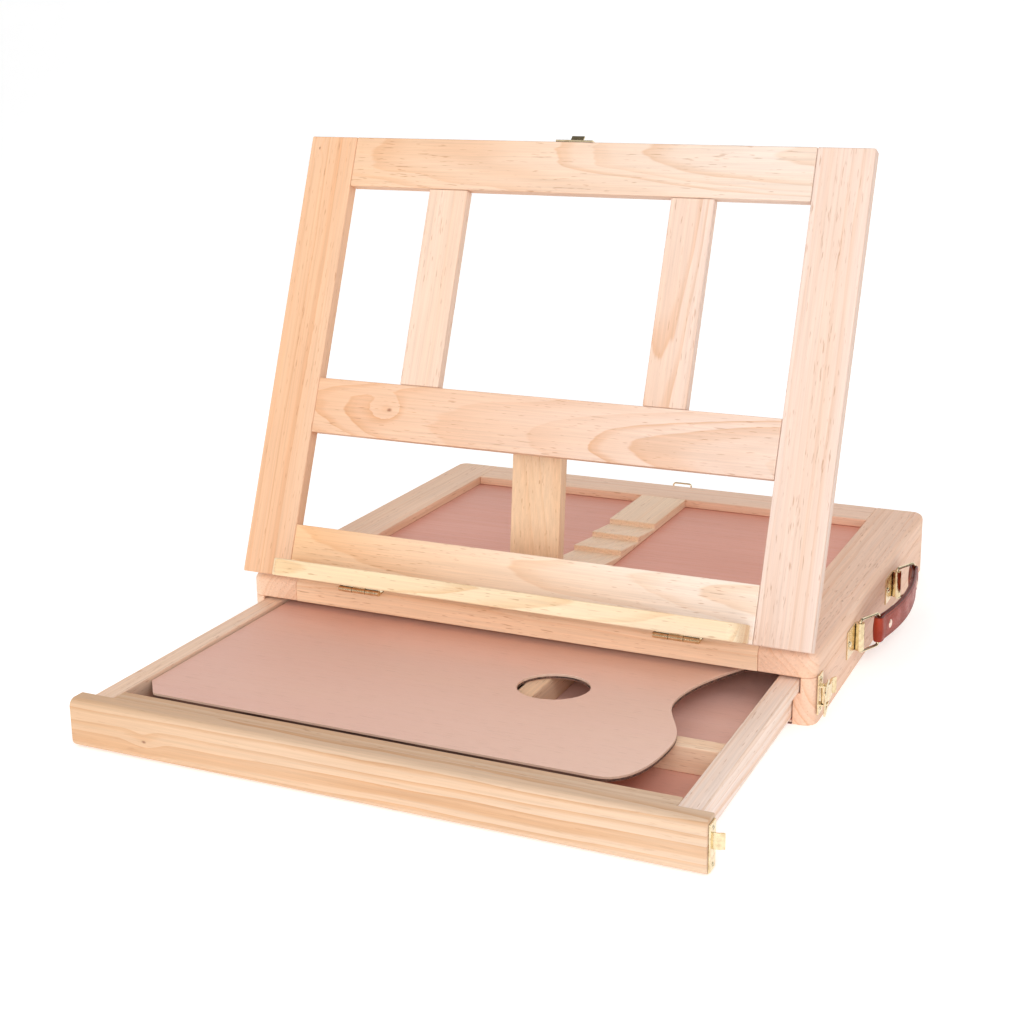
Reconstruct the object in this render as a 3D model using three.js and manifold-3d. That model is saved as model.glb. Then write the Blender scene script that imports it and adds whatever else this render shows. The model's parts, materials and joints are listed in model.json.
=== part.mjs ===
// Table box easel: a flat wooden box with a drawer and palette, a hinged canvas frame held up by a
// prop strut on a ratchet bar, toggle latches and a leather carrying handle.
// Millimetres, +Z up. The origin is the centre of the box's footprint, on the surface it stands on.
// -Y is the drawer's side (the front), +X is the handle's side (the right).

import * as THREE from 'three';
import { mergeVertices } from 'three/addons/utils/BufferGeometryUtils.js';
import Module from 'manifold-3d';

const wasm = await Module();
wasm.setup();

// ---------------------------------------------------------------- driving dimensions

const BOX = { width: 410, depth: 333, height: 47, topThickness: 15.5 };
const HALF_WIDTH = BOX.width / 2;
const FRONT = -BOX.depth / 2;
const BACK = BOX.depth / 2;
const TOP_UNDERSIDE = BOX.height - BOX.topThickness;

// The top is a frame of stiles and rails around two thin panels and the ratchet bar.
const TOP = { stile: 37.5, frontRail: 28, backRail: 39, corner: 9, edge: 4.5 };
const PANEL = { thickness: 3.5, recess: 7, tongue: 4, play: 0.15 };

// The ratchet bar's teeth: upright walls face the front, and each crest slopes down to the next wall.
const RATCHET = { halfWidth: 19, lastWall: 54.5, pitch: 36, walls: 5, depth: 4, landEnd: -112.5 };

// Box walls: a lower thickness, and an upper rabbet in which the drawer sides' flanges slide.
const WALL = { lower: 14.5, upper: 10, ledge: 21, back: 13 };
const BOTTOM_THICKNESS = 3;

// The canvas frame, in its own plane: v runs up the frame from the hinge axis, n out of its front.
const FRAME = { tilt: 68.2, width: 408, length: 315.4, thickness: 9.5, start: 2.5 };
const FRAME_RAIL = { bottom: 37, middleLow: 102.6, middleHigh: 141.2, top: 35.5 };
const FRAME_STILE = 37;
const FRAME_BAR = { inner: 74, width: 29.5, recess: 0.8 };
const JOINT_GAP = 0.15;
const LEDGE = { halfLength: 164.5, depth: 30, thickness: 11.7, corner: 7, gap: 0.3 };

// Butt hinges: leaves let in flush, a barrel of three knuckles, and a pin.
const HINGE = { length: 31, leaf: 15, sheet: 1, barrel: 2, bore: 1.05, pin: 0.85, play: 0.2 };
const FRAME_HINGE = { offset: 115, y: FRONT - 2.5, z: BOX.height };
const STRUT_HINGE = { length: 30, drop: 1, pocket: 2.4 };

// The prop strut, which stows inside the frame's upper opening.
const STRUT = { width: 36, offset: -2, thickness: 9.5, length: 132.2, start: 2.5, swing: 164.3 };

// The drawer, shown pulled out by this much from shut.
const DRAWER = {
  out: 188.5, gap: 0.3, front: 13, frontHalf: 202, innerFront: 13, frontLow: 0.4, frontHigh: 31.2,
  sideTop: 29.7, sideLow: 3.6, length: 318, backWall: 10, inner: 180.5, lowerOuter: 190, upperOuter: 194.3,
  flangeLow: 21.5, floorTop: 7, floorLow: 4,
};
const DRAWER_FRONT_ROUND = 5;
const DIVIDER = { thickness: 12.5, top: 24, crossFront: -105, longLeft: 34.5, longThickness: 12.5 };

// The palette: a thin board lying on the dividers, outlined in the drawer's pulled-out position.
const PALETTE = { top: 27.5, thickness: 3.2, left: -179.3, front: -166.5, back: 85 };
const THUMB_HOLE = { x: 56.5, y: -62, long: 23, short: 20.2, turn: 20 };
// The palette's clipped front corner, its round back corner, and its curved right edge: a rounded front
// corner, a waist for the fingers, and a rounded back corner. Each step's corners and bulge are [x, y].
const PALETTE_CORNER = { along: 12, across: 16, blunt: 4, backRadius: 24 };
const PALETTE_RIGHT = {
  cornerFrom: 126,
  steps: [
    [[146, PALETTE.front], [151.5, -140], [151.5, -112]],
    [[151.5, -88], [132.5, -74], [132.5, -53.5]],
    [[132.5, -30], [143, -8], [156, 14]],
    [[166, 31], [175, 38], [175, 56]],
    [[175, 76], [168, PALETTE.back], [150, PALETTE.back]],
  ],
};

// Toggle latches, in a local frame: a along the pivots, b towards the catch, c out of the surface.
const LATCH = {
  plateLength: 26, plateWidth: 9.6, sheet: 1, ear: 6.6, earWidth: 5.6, pivotB: 2.4, pivotC: 3.3,
  leverHalf: 5.2, loopB: -5, loopC: 4.4, loopHalf: 7.8, loopLength: 23, wire: 0.75, loopCorner: 2.2,
  tipB: -17, loopRest: 9,
};
const LEVER = { skin: 1.5, seatRise: 0.1, tipRun: 3, tipRise: 2.2, tipSheet: 1.1, neck: 1.8, seatPlay: 0.2 };
const LATCH_PIN = { radius: 0.7, hole: 0.85, reach: 7.4 };
const CATCH = { length: 27, width: 9, sheet: 1.2, gap: 0.1, hookHalf: 4.6, hookSheet: 1.2, hookLean: 1.9 };
const DRAWER_HOOK = { rise: 2.6, height: 7.2 };
const LID_HOOK_HEIGHT = 6;
const DRAWER_LATCH = { y: FRONT + 9, z: 20 };
const DRAWER_CATCH_FROM_SHUT = 6.7;
const LID_LATCH_Z = 28.5;

// The carrying handle: two clips, two wire rings and a strap that stays parallel to the box's side.
const HANDLE = { front: -66.5, pitch: 115, height: 25.5, reach: 20, angle: 25, standOff: 3.6 };
const CLIP = { sleeve: 3.2, bore: 1.4, height: 19, tab: 22, sheet: 1, screwAt: 17, screwHole: 1.2 };
const CLIP_SCREW = { shank: 1, head: 2.1, headHeight: 1.25, point: 0.1, play: 0.05 };
const RING = { wire: 1.1, halfHeight: 11.3, corner: 2.5 };
const STRAP = { height: 18, thickness: 3.4, bow: 7, eye: 3.3, eyeBore: 1.35, rivetAt: 14 };
const RIVET = { shank: 1.5, hole: 1.65, head: 3.3, headHeight: 1.1, play: 0.1 };

// How finely round wire is cut: pieces along a ring, and sides around it.
const WIRE_STEPS = { along: 96, around: 8 };

// ---------------------------------------------------------------- materials

const finish = (color, roughness, metalness) => ({ color, roughness, metalness });
const PINE = finish(0xf0cfa4, 0.6, 0);
const PALE_PINE = finish(0xf3dcae, 0.6, 0);
const BOX_PINE = finish(0xe6c3a3, 0.62, 0);
const PLYWOOD = finish(0xc69580, 0.65, 0);
const BRASS = finish(0xd9bd78, 0.3, 1);
const STEEL = finish(0xb9b6ae, 0.35, 1);
const LEATHER = finish(0x7a2f22, 0.5, 0);
const COPPER = finish(0xd9b7a0, 0.35, 1);

// ---------------------------------------------------------------- geometry helpers

const rad = THREE.MathUtils.degToRad;

// A closed three.js geometry as a solid that can be joined and cut.
function solid(geometry) {
  const bare = geometry.clone();
  bare.deleteAttribute('normal');
  bare.deleteAttribute('uv');
  const merged = mergeVertices(bare, 1e-4);
  return new wasm.Manifold(new wasm.Mesh({
    numProp: 3,
    vertProperties: new Float32Array(merged.attributes.position.array),
    triVerts: new Uint32Array(merged.index.array),
  }));
}

function geometryOf(body) {
  const mesh = body.getMesh();
  const geometry = new THREE.BufferGeometry();
  geometry.setAttribute('position', new THREE.BufferAttribute(mesh.vertProperties, 3));
  geometry.setIndex(new THREE.BufferAttribute(mesh.triVerts, 1));
  return geometry;
}

function piece(name, shape, look) {
  const geometry = shape.isBufferGeometry ? shape : geometryOf(shape);
  const mesh = new THREE.Mesh(geometry, new THREE.MeshStandardMaterial({ ...look, flatShading: true }));
  mesh.name = name;
  return mesh;
}

// A block between two corners.
function block(x0, x1, y0, y1, z0, z1) {
  const box = new THREE.BoxGeometry(x1 - x0, y1 - y0, z1 - z0);
  return solid(box.translate((x0 + x1) / 2, (y0 + y1) / 2, (z0 + z1) / 2));
}

function extrude(shape, depth, segments = 8) {
  return new THREE.ExtrudeGeometry(shape, { depth, bevelEnabled: false, curveSegments: segments });
}

// A (y, z) profile extruded along X from x0 to x1.
function alongX(shape, x0, x1, segments) {
  const turn = new THREE.Matrix4().makeBasis(
    new THREE.Vector3(0, 1, 0),
    new THREE.Vector3(0, 0, 1),
    new THREE.Vector3(1, 0, 0),
  );
  return solid(extrude(shape, x1 - x0, segments).applyMatrix4(turn).translate(x0, 0, 0));
}

// An (x, z) profile extruded along Y from y0 to y1.
function alongY(shape, y0, y1, segments) {
  return solid(extrude(shape, y1 - y0, segments).rotateX(Math.PI / 2).translate(0, y1, 0));
}

// An (x, y) profile extruded along Z from z0 to z1.
function alongZ(shape, z0, z1, segments) {
  return solid(extrude(shape, z1 - z0, segments).translate(0, 0, z0));
}

function polygon(points) {
  return new THREE.Shape(points.map(([x, y]) => new THREE.Vector2(x, y)));
}

function disc(x, y, radius) {
  const shape = new THREE.Shape();
  shape.absarc(x, y, radius, 0, 2 * Math.PI, false);
  return shape;
}

// A rectangle whose four corners are rounded by the same radius.
function roundedRectangle(x0, x1, y0, y1, radius) {
  const shape = new THREE.Shape();
  shape.moveTo(x0 + radius, y0);
  shape.lineTo(x1 - radius, y0);
  shape.absarc(x1 - radius, y0 + radius, radius, -Math.PI / 2, 0, false);
  shape.absarc(x1 - radius, y1 - radius, radius, 0, Math.PI / 2, false);
  shape.absarc(x0 + radius, y1 - radius, radius, Math.PI / 2, Math.PI, false);
  shape.absarc(x0 + radius, y0 + radius, radius, Math.PI, 1.5 * Math.PI, false);
  return shape;
}

// A bar along one axis with a round section.
function rodX(x0, x1, y, z, radius) {
  return alongX(disc(y, z, radius), x0, x1);
}

// A closed rectangle of round wire in the local (x, y) plane, with rounded corners.
function wireRing(x0, x1, y0, y1, corner, wire) {
  const outline = new THREE.CurvePath();
  const at = (x, y) => new THREE.Vector3(x, y, 0);
  const corners = [
    [at(x0 + corner, y0), at(x1 - corner, y0), at(x1, y0), at(x1, y0 + corner)],
    [at(x1, y0 + corner), at(x1, y1 - corner), at(x1, y1), at(x1 - corner, y1)],
    [at(x1 - corner, y1), at(x0 + corner, y1), at(x0, y1), at(x0, y1 - corner)],
    [at(x0, y1 - corner), at(x0, y0 + corner), at(x0, y0), at(x0 + corner, y0)],
  ];
  for (const [from, to, control, end] of corners) {
    outline.add(new THREE.LineCurve3(from, to));
    outline.add(new THREE.QuadraticBezierCurve3(to, control, end));
  }
  return solid(new THREE.TubeGeometry(outline, WIRE_STEPS.along, wire, WIRE_STEPS.around, true));
}

// ---------------------------------------------------------------- box top

// The whole top as one slab with rounded corners and a rounded upper edge.
function topSlab() {
  const outline = roundedRectangle(-HALF_WIDTH, HALF_WIDTH, FRONT, BACK, TOP.corner);
  const rounded = new THREE.ExtrudeGeometry(outline, {
    depth: BOX.topThickness, curveSegments: 5, bevelEnabled: true, bevelSegments: 4,
    bevelThickness: TOP.edge, bevelSize: TOP.edge, bevelOffset: -TOP.edge,
  });
  rounded.translate(0, 0, BOX.height - BOX.topThickness - TOP.edge);
  const wide = HALF_WIDTH + 1;
  return solid(rounded).intersect(block(-wide, wide, FRONT - 1, BACK + 1, TOP_UNDERSIDE, BOX.height + 1));
}

const INNER_X = HALF_WIDTH - TOP.stile;
const INNER_FRONT = FRONT + TOP.frontRail;
const INNER_BACK = BACK - TOP.backRail;
const PANEL_TOP = BOX.height - PANEL.recess;

// A panel's block, grown by the play so that it can also cut its own groove.
function panelBlock(side, play) {
  const near = RATCHET.halfWidth - PANEL.tongue - play;
  const far = INNER_X + PANEL.tongue + play;
  const [x0, x1] = side > 0 ? [near, far] : [-far, -near];
  return block(
    x0, x1, INNER_FRONT - PANEL.tongue - play, INNER_BACK + PANEL.tongue + play,
    PANEL_TOP - PANEL.thickness - play, PANEL_TOP + play,
  );
}

function cutGrooves(body) {
  return body.subtract(panelBlock(1, PANEL.play)).subtract(panelBlock(-1, PANEL.play));
}

function ratchetBar() {
  const top = BOX.height;
  const firstWall = RATCHET.lastWall - (RATCHET.walls - 1) * RATCHET.pitch;
  const profile = [[INNER_FRONT, TOP_UNDERSIDE], [INNER_FRONT, top], [RATCHET.landEnd, top]];
  for (let i = 0; i < RATCHET.walls; i += 1) {
    const wall = firstWall + i * RATCHET.pitch;
    profile.push([wall, top - RATCHET.depth], [wall, top]);
  }
  profile.push([INNER_BACK, top], [INNER_BACK, TOP_UNDERSIDE]);
  const shape = polygon(profile.reverse());
  return alongX(shape, -RATCHET.halfWidth, RATCHET.halfWidth);
}

// The hole in the wood that lets one hinge leaf lie flush, in box coordinates.
function lowerLeafRecess(x) {
  const half = HINGE.length / 2 + HINGE.play;
  const back = FRAME_HINGE.y + HINGE.leaf + HINGE.play;
  return block(x - half, x + half, FRONT - 1, back, BOX.height - HINGE.sheet - HINGE.play, BOX.height + 1);
}

function boxTop() {
  const slab = topSlab();
  const low = TOP_UNDERSIDE - 1;
  const high = BOX.height + 1;
  const out = HALF_WIDTH + 1;
  const stile = (x0, x1) => cutGrooves(slab.intersect(block(x0, x1, FRONT - 1, BACK + 1, low, high)));
  const rail = (y0, y1) => cutGrooves(slab.intersect(block(-INNER_X, INNER_X, y0, y1, low, high)));
  let frontRail = rail(FRONT - 1, INNER_FRONT);
  for (const x of [-FRAME_HINGE.offset, FRAME_HINGE.offset]) {
    frontRail = frontRail.subtract(lowerLeafRecess(x));
  }
  return [
    piece('top_stile_left', stile(-out, -INNER_X), BOX_PINE),
    piece('top_stile_right', stile(INNER_X, out), BOX_PINE),
    piece('top_rail_front', frontRail, BOX_PINE),
    piece('top_rail_back', rail(INNER_BACK, BACK + 1), BOX_PINE),
    piece('ratchet_bar', cutGrooves(ratchetBar()), BOX_PINE),
    piece('top_panel_left', panelBlock(-1, 0), PLYWOOD),
    piece('top_panel_right', panelBlock(1, 0), PLYWOOD),
  ];
}

// ---------------------------------------------------------------- box carcass

// A side wall: a rabbet inside for the drawer's flange, and rounded outer ends.
function sideWall(side) {
  const outer = HALF_WIDTH;
  const inner = HALF_WIDTH - WALL.lower;
  const shape = polygon([
    [inner, 0], [outer, 0], [outer, TOP_UNDERSIDE],
    [HALF_WIDTH - WALL.upper, TOP_UNDERSIDE], [HALF_WIDTH - WALL.upper, WALL.ledge], [inner, WALL.ledge],
  ]);
  const outline = roundedRectangle(-HALF_WIDTH, HALF_WIDTH, FRONT, BACK, TOP.corner);
  const right = alongY(shape, FRONT, BACK).intersect(alongZ(outline, -1, BOX.height, 5));
  return side > 0 ? right : right.mirror([1, 0, 0]);
}

function backWall() {
  const low = HALF_WIDTH - WALL.lower;
  const high = HALF_WIDTH - WALL.upper;
  const shape = polygon([
    [-low, 0], [low, 0], [low, WALL.ledge], [high, WALL.ledge], [high, TOP_UNDERSIDE],
    [-high, TOP_UNDERSIDE], [-high, WALL.ledge], [-low, WALL.ledge],
  ]);
  const outline = roundedRectangle(-HALF_WIDTH, HALF_WIDTH, FRONT, BACK, TOP.corner);
  return alongY(shape, BACK - WALL.back, BACK).intersect(alongZ(outline, -1, BOX.height, 5));
}

function carcass() {
  const inner = HALF_WIDTH - WALL.lower;
  return [
    piece('box_side_left', sideWall(-1), BOX_PINE),
    piece('box_side_right', sideWall(1), BOX_PINE),
    piece('box_back', backWall(), BOX_PINE),
    piece('box_bottom', block(-inner, inner, FRONT, BACK - WALL.back, 0, BOTTOM_THICKNESS), PLYWOOD),
  ];
}

// ---------------------------------------------------------------- butt hinges

// A leaf with its knuckles. Local frame: the pin's axis is X through the origin, and the leaf lies
// along +Y with its outer face at z = 0 and its sheet below that when down is true, above otherwise.
function hingeLeaf(length, keepMiddle, down) {
  const half = length / 2;
  const sheet = down ? [-HINGE.sheet, 0] : [0, HINGE.sheet];
  const knuckle = length / 3;
  let leaf = rodX(-half, half, 0, 0, HINGE.barrel).add(block(-half, half, 0.5, HINGE.leaf, ...sheet));
  const tall = HINGE.barrel + 1;
  const near = HINGE.barrel + HINGE.play;
  const gap = HINGE.play;
  if (keepMiddle) {
    leaf = leaf.subtract(block(-half - 1, -knuckle / 2 + gap, -tall, near, -tall, tall));
    leaf = leaf.subtract(block(knuckle / 2 - gap, half + 1, -tall, near, -tall, tall));
  } else {
    leaf = leaf.subtract(block(-knuckle / 2 - gap / 2, knuckle / 2 + gap / 2, -tall, near, -tall, tall));
  }
  return leaf.subtract(rodX(-half - 1, half + 1, 0, 0, HINGE.bore));
}

function hingePin(length) {
  return rodX(-length / 2, length / 2, 0, 0, HINGE.pin);
}

function placed(mesh, x, y, z) {
  mesh.position.set(x, y, z);
  return mesh;
}

function lowerHingeParts() {
  const parts = [];
  for (const [side, name] of [[-1, 'left'], [1, 'right']]) {
    const x = side * FRAME_HINGE.offset;
    const leaf = piece(`frame_hinge_lower_${name}`, hingeLeaf(HINGE.length, false, true), BRASS);
    const pin = piece(`frame_hinge_pin_${name}`, hingePin(HINGE.length), BRASS);
    parts.push(placed(leaf, x, FRAME_HINGE.y, FRAME_HINGE.z));
    parts.push(placed(pin, x, FRAME_HINGE.y, FRAME_HINGE.z));
  }
  return parts;
}

// ---------------------------------------------------------------- canvas frame

// The strut's hinge axis, measured up the frame: just below the middle rail's top back edge.
const STRUT_AXIS = FRAME.start + FRAME_RAIL.middleHigh - STRUT_HINGE.drop;

// A rail or stile of the frame, as a block in (x, v, n).
function member(x0, x1, v0, v1, n0 = 0, n1 = FRAME.thickness) {
  return block(x0, x1, FRAME.start + v0, FRAME.start + v1, n0, n1);
}

function upperLeafRecess(x) {
  const half = HINGE.length / 2 + HINGE.play;
  return block(x - half, x + half, -1, HINGE.leaf + HINGE.play, -1, HINGE.sheet + HINGE.play);
}

function bottomRail(inner) {
  let rail = member(-inner, inner, 0, FRAME_RAIL.bottom);
  for (const x of [-FRAME_HINGE.offset, FRAME_HINGE.offset]) {
    rail = rail.subtract(upperLeafRecess(x));
  }
  return rail;
}

// The middle rail has a recess in its back for the strut hinge's fixed leaf, and a pocket at its top
// edge for the barrel.
function middleRail(inner) {
  const x0 = STRUT.offset - STRUT_HINGE.length / 2 - HINGE.play;
  const x1 = x0 + STRUT_HINGE.length + 2 * HINGE.play;
  const top = FRAME.start + FRAME_RAIL.middleHigh;
  const { pocket } = STRUT_HINGE;
  const recess = block(x0, x1, STRUT_AXIS - HINGE.leaf - HINGE.play, top + 1, -1, HINGE.sheet + HINGE.play);
  const barrelPocket = block(x0, x1, STRUT_AXIS - pocket, top + 1, -1, pocket);
  const rail = member(-inner, inner, FRAME_RAIL.middleLow, FRAME_RAIL.middleHigh);
  return rail.subtract(recess).subtract(barrelPocket);
}

function ledge() {
  const outline = new THREE.Shape();
  const far = FRAME.thickness + LEDGE.gap + LEDGE.depth;
  const half = LEDGE.halfLength;
  const r = LEDGE.corner;
  outline.moveTo(-half, FRAME.thickness + LEDGE.gap);
  outline.lineTo(half, FRAME.thickness + LEDGE.gap);
  outline.lineTo(half, far - r);
  outline.absarc(half - r, far - r, r, 0, Math.PI / 2, false);
  outline.absarc(-half + r, far - r, r, Math.PI / 2, Math.PI, false);
  const bar = solid(extrude(outline, LEDGE.thickness, 6).rotateX(Math.PI / 2));
  // After the turn the outline's y lies along n, and the thickness hangs down from v = 0.
  return bar.translate([0, FRAME.start + LEDGE.thickness, 0]);
}

function frameParts() {
  const outer = FRAME.width / 2;
  const inner = outer - FRAME_STILE - JOINT_GAP;
  const top = FRAME.length - FRAME_RAIL.top;
  const bar = (x0, x1) => member(
    x0, x1, FRAME_RAIL.middleHigh + JOINT_GAP, top - JOINT_GAP,
    FRAME_BAR.recess, FRAME.thickness - FRAME_BAR.recess,
  );
  const barOuter = FRAME_BAR.inner + FRAME_BAR.width;
  return [
    piece('frame_stile_left', member(-outer, -outer + FRAME_STILE, 0, FRAME.length), PINE),
    piece('frame_stile_right', member(outer - FRAME_STILE, outer, 0, FRAME.length), PINE),
    piece('frame_rail_top', member(-inner, inner, top, FRAME.length), PINE),
    piece('frame_rail_middle', middleRail(inner), PINE),
    piece('frame_rail_bottom', bottomRail(inner), PINE),
    piece('frame_bar_left', bar(-barOuter, -FRAME_BAR.inner), PINE),
    piece('frame_bar_right', bar(FRAME_BAR.inner, barOuter), PINE),
    piece('canvas_ledge', ledge(), PALE_PINE),
  ];
}

// The upper leaves lie in the back of the bottom rail, in (x, v, n).
function upperHingeParts() {
  return [[-1, 'left'], [1, 'right']].map(([side, name]) => {
    const leaf = piece(`frame_hinge_upper_${name}`, hingeLeaf(HINGE.length, true, false), BRASS);
    return placed(leaf, side * FRAME_HINGE.offset, 0, 0);
  });
}

// ---------------------------------------------------------------- prop strut

// In the strut's own frame y runs from its hinge axis to its foot, and z = 0 is the face at the hinge.
// The foot is an arc about the hinge axis, so that it clears the bar as it swings.
function strutBody() {
  const x0 = STRUT.offset - STRUT.width / 2;
  const reach = Math.asin(STRUT.thickness / STRUT.length);
  const profile = new THREE.Shape();
  profile.moveTo(STRUT.start, 0);
  profile.lineTo(STRUT.length, 0);
  profile.absarc(0, 0, STRUT.length, 0, reach, false);
  profile.lineTo(STRUT.start, STRUT.thickness);
  const half = STRUT_HINGE.length / 2 + HINGE.play;
  const recess = block(
    STRUT.offset - half, STRUT.offset + half, 0, HINGE.leaf + HINGE.play, -1, HINGE.sheet + HINGE.play,
  );
  return alongX(profile, x0, x0 + STRUT.width, 4).subtract(recess);
}

function strutGroup() {
  const group = new THREE.Group();
  const leaf = piece('strut_hinge_moving_leaf', hingeLeaf(STRUT_HINGE.length, true, false), BRASS);
  group.add(piece('prop_strut', strutBody(), PINE));
  group.add(placed(leaf, STRUT.offset, 0, 0));
  group.position.set(0, STRUT_AXIS, 0);
  group.rotation.x = -rad(STRUT.swing);
  return group;
}

// The fixed leaf points down the rail's back: the same leaf turned half a turn about the frame's normal.
function strutFixedLeaf() {
  const leaf = piece('strut_hinge_fixed_leaf', hingeLeaf(STRUT_HINGE.length, false, false), BRASS);
  leaf.rotation.z = Math.PI;
  const pin = piece('strut_hinge_pin', hingePin(STRUT_HINGE.length), BRASS);
  return [placed(leaf, STRUT.offset, STRUT_AXIS, 0), placed(pin, STRUT.offset, STRUT_AXIS, 0)];
}

// ---------------------------------------------------------------- drawer

const DRAWER_FACE = FRONT - DRAWER.gap - DRAWER.out;

function drawerFront() {
  const z0 = DRAWER.frontLow;
  const z1 = DRAWER.frontHigh;
  const y0 = DRAWER_FACE - DRAWER.front;
  const r = DRAWER_FRONT_ROUND;
  const profile = new THREE.Shape();
  profile.moveTo(DRAWER_FACE, z0);
  profile.lineTo(DRAWER_FACE, z1);
  profile.lineTo(y0 + r, z1);
  profile.absarc(y0 + r, z1 - r, r, Math.PI / 2, Math.PI, false);
  profile.absarc(y0 + r, z0 + r, r, Math.PI, 1.5 * Math.PI, false);
  return alongX(profile, -DRAWER.frontHalf, DRAWER.frontHalf, 5);
}

// A side: a lower wall that runs inside the box's wall, and an upper flange that rides in the rabbet.
function drawerSide(side) {
  const shape = polygon([
    [DRAWER.inner, DRAWER.sideLow], [DRAWER.lowerOuter, DRAWER.sideLow],
    [DRAWER.lowerOuter, DRAWER.flangeLow], [DRAWER.upperOuter, DRAWER.flangeLow],
    [DRAWER.upperOuter, DRAWER.sideTop], [DRAWER.inner, DRAWER.sideTop],
  ]);
  const right = alongY(shape, DRAWER_FACE, DRAWER_FACE + DRAWER.length);
  return side > 0 ? right : right.mirror([1, 0, 0]);
}

function drawerParts() {
  const inside = DRAWER.inner;
  const frontInner = DRAWER_FACE + DRAWER.innerFront;
  const backOuter = DRAWER_FACE + DRAWER.length;
  const backInner = backOuter - DRAWER.backWall;
  const floorTop = DRAWER.floorTop;
  const cross0 = FRONT + DIVIDER.crossFront;
  const cross1 = cross0 + DIVIDER.thickness;
  const long0 = DIVIDER.longLeft;
  return [
    piece('drawer_front', drawerFront(), PINE),
    piece(
      'drawer_inner_front',
      block(-inside, inside, DRAWER_FACE, frontInner, floorTop, DRAWER.sideTop), PINE,
    ),
    piece('drawer_side_left', drawerSide(-1), PINE),
    piece('drawer_side_right', drawerSide(1), PINE),
    piece('drawer_back', block(-inside, inside, backInner, backOuter, floorTop, DRAWER.sideTop), PINE),
    piece('drawer_floor', block(-inside, inside, DRAWER_FACE, backOuter, DRAWER.floorLow, floorTop), PLYWOOD),
    piece('drawer_divider_cross', block(-inside, inside, cross0, cross1, floorTop, DIVIDER.top), PINE),
    piece(
      'drawer_divider_long',
      block(long0, long0 + DIVIDER.longThickness, cross1, backInner, floorTop, DIVIDER.top), PINE,
    ),
  ];
}

// The palette's outline, in coordinates measured from the box's front face.
function paletteOutline() {
  const { left, front, back } = PALETTE;
  const { along, across, blunt, backRadius } = PALETTE_CORNER;
  const shape = new THREE.Shape();
  shape.moveTo(left, front + across);
  shape.lineTo(left + along, front + 1);
  shape.quadraticCurveTo(left + along + 1, front, left + along + blunt, front);
  shape.lineTo(PALETTE_RIGHT.cornerFrom, front);
  for (const [leaving, arriving, end] of PALETTE_RIGHT.steps) {
    shape.bezierCurveTo(...leaving, ...arriving, ...end);
  }
  shape.lineTo(left + backRadius, back);
  shape.absarc(left + backRadius, back - backRadius, backRadius, Math.PI / 2, Math.PI, false);
  const hole = new THREE.Path();
  const { x, y, long, short, turn } = THUMB_HOLE;
  hole.absellipse(x, y, long, short, 0, 2 * Math.PI, true, rad(turn));
  shape.holes.push(hole);
  return shape;
}

function palette() {
  const board = alongZ(paletteOutline(), PALETTE.top - PALETTE.thickness, PALETTE.top, 12);
  return piece('palette', board.translate([0, FRONT, 0]), PLYWOOD);
}

// ---------------------------------------------------------------- toggle latches

// The latch's local frame is (x, y, z) = (a, b, c).
function latchPlate() {
  const half = LATCH.plateLength / 2;
  const { ear, sheet, pivotB, pivotC } = LATCH;
  const plate = block(-half, half, -LATCH.plateWidth / 2, LATCH.plateWidth / 2, 0, sheet);
  const b0 = pivotB - LATCH.earWidth / 2;
  const earShape = new THREE.Shape();
  earShape.moveTo(b0, 0);
  earShape.lineTo(b0 + LATCH.earWidth, 0);
  earShape.lineTo(b0 + LATCH.earWidth, pivotC);
  earShape.absarc(pivotB, pivotC, LATCH.earWidth / 2, 0, Math.PI, false);
  const bore = rodX(-half, half, pivotB, pivotC, LATCH_PIN.hole);
  const ears = alongX(earShape, -ear, -ear + sheet, 5).add(alongX(earShape, ear - sheet, ear, 5));
  return plate.add(ears).subtract(bore);
}

// The lever: a sheet from the pivot past the loop's seat to a turned-up tip.
function latchLever() {
  const { pivotB, pivotC, loopB, loopC, leverHalf, tipB } = LATCH;
  const { skin, seatRise, tipRun, tipRise, tipSheet, neck, seatPlay } = LEVER;
  const profile = new THREE.Shape();
  profile.moveTo(pivotB, pivotC - skin);
  profile.absarc(pivotB, pivotC, skin, -Math.PI / 2, Math.PI / 2, false);
  profile.lineTo(loopB, loopC + skin + seatRise);
  profile.lineTo(tipB + tipRun, loopC + tipSheet / 2);
  profile.lineTo(tipB, loopC + tipRise);
  profile.lineTo(tipB - tipSheet / 3, loopC + tipRise - tipSheet);
  profile.lineTo(tipB + tipRun, loopC - tipSheet / 2);
  profile.lineTo(loopB - neck, loopC - skin / 2);
  profile.lineTo(loopB, loopC - skin - seatRise);
  const body = alongX(profile, -leverHalf, leverHalf, 5);
  const pinBore = rodX(-leverHalf - 1, leverHalf + 1, pivotB, pivotC, LATCH_PIN.hole);
  const wireBore = rodX(-leverHalf - 1, leverHalf + 1, loopB, loopC, LATCH.wire + seatPlay);
  return body.subtract(pinBore).subtract(wireBore);
}

function latchPin() {
  return rodX(-LATCH_PIN.reach, LATCH_PIN.reach, LATCH.pivotB, LATCH.pivotC, LATCH_PIN.radius);
}

// The loop is a wire rectangle around the lever, turned up a little from the plate at rest.
function latchLoop(name) {
  const half = LATCH.loopHalf;
  const loop = piece(name, wireRing(-half, half, 0, LATCH.loopLength, LATCH.loopCorner, LATCH.wire), STEEL);
  loop.position.set(0, LATCH.loopB, LATCH.loopC);
  loop.rotation.x = rad(LATCH.loopRest);
  return loop;
}

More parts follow.
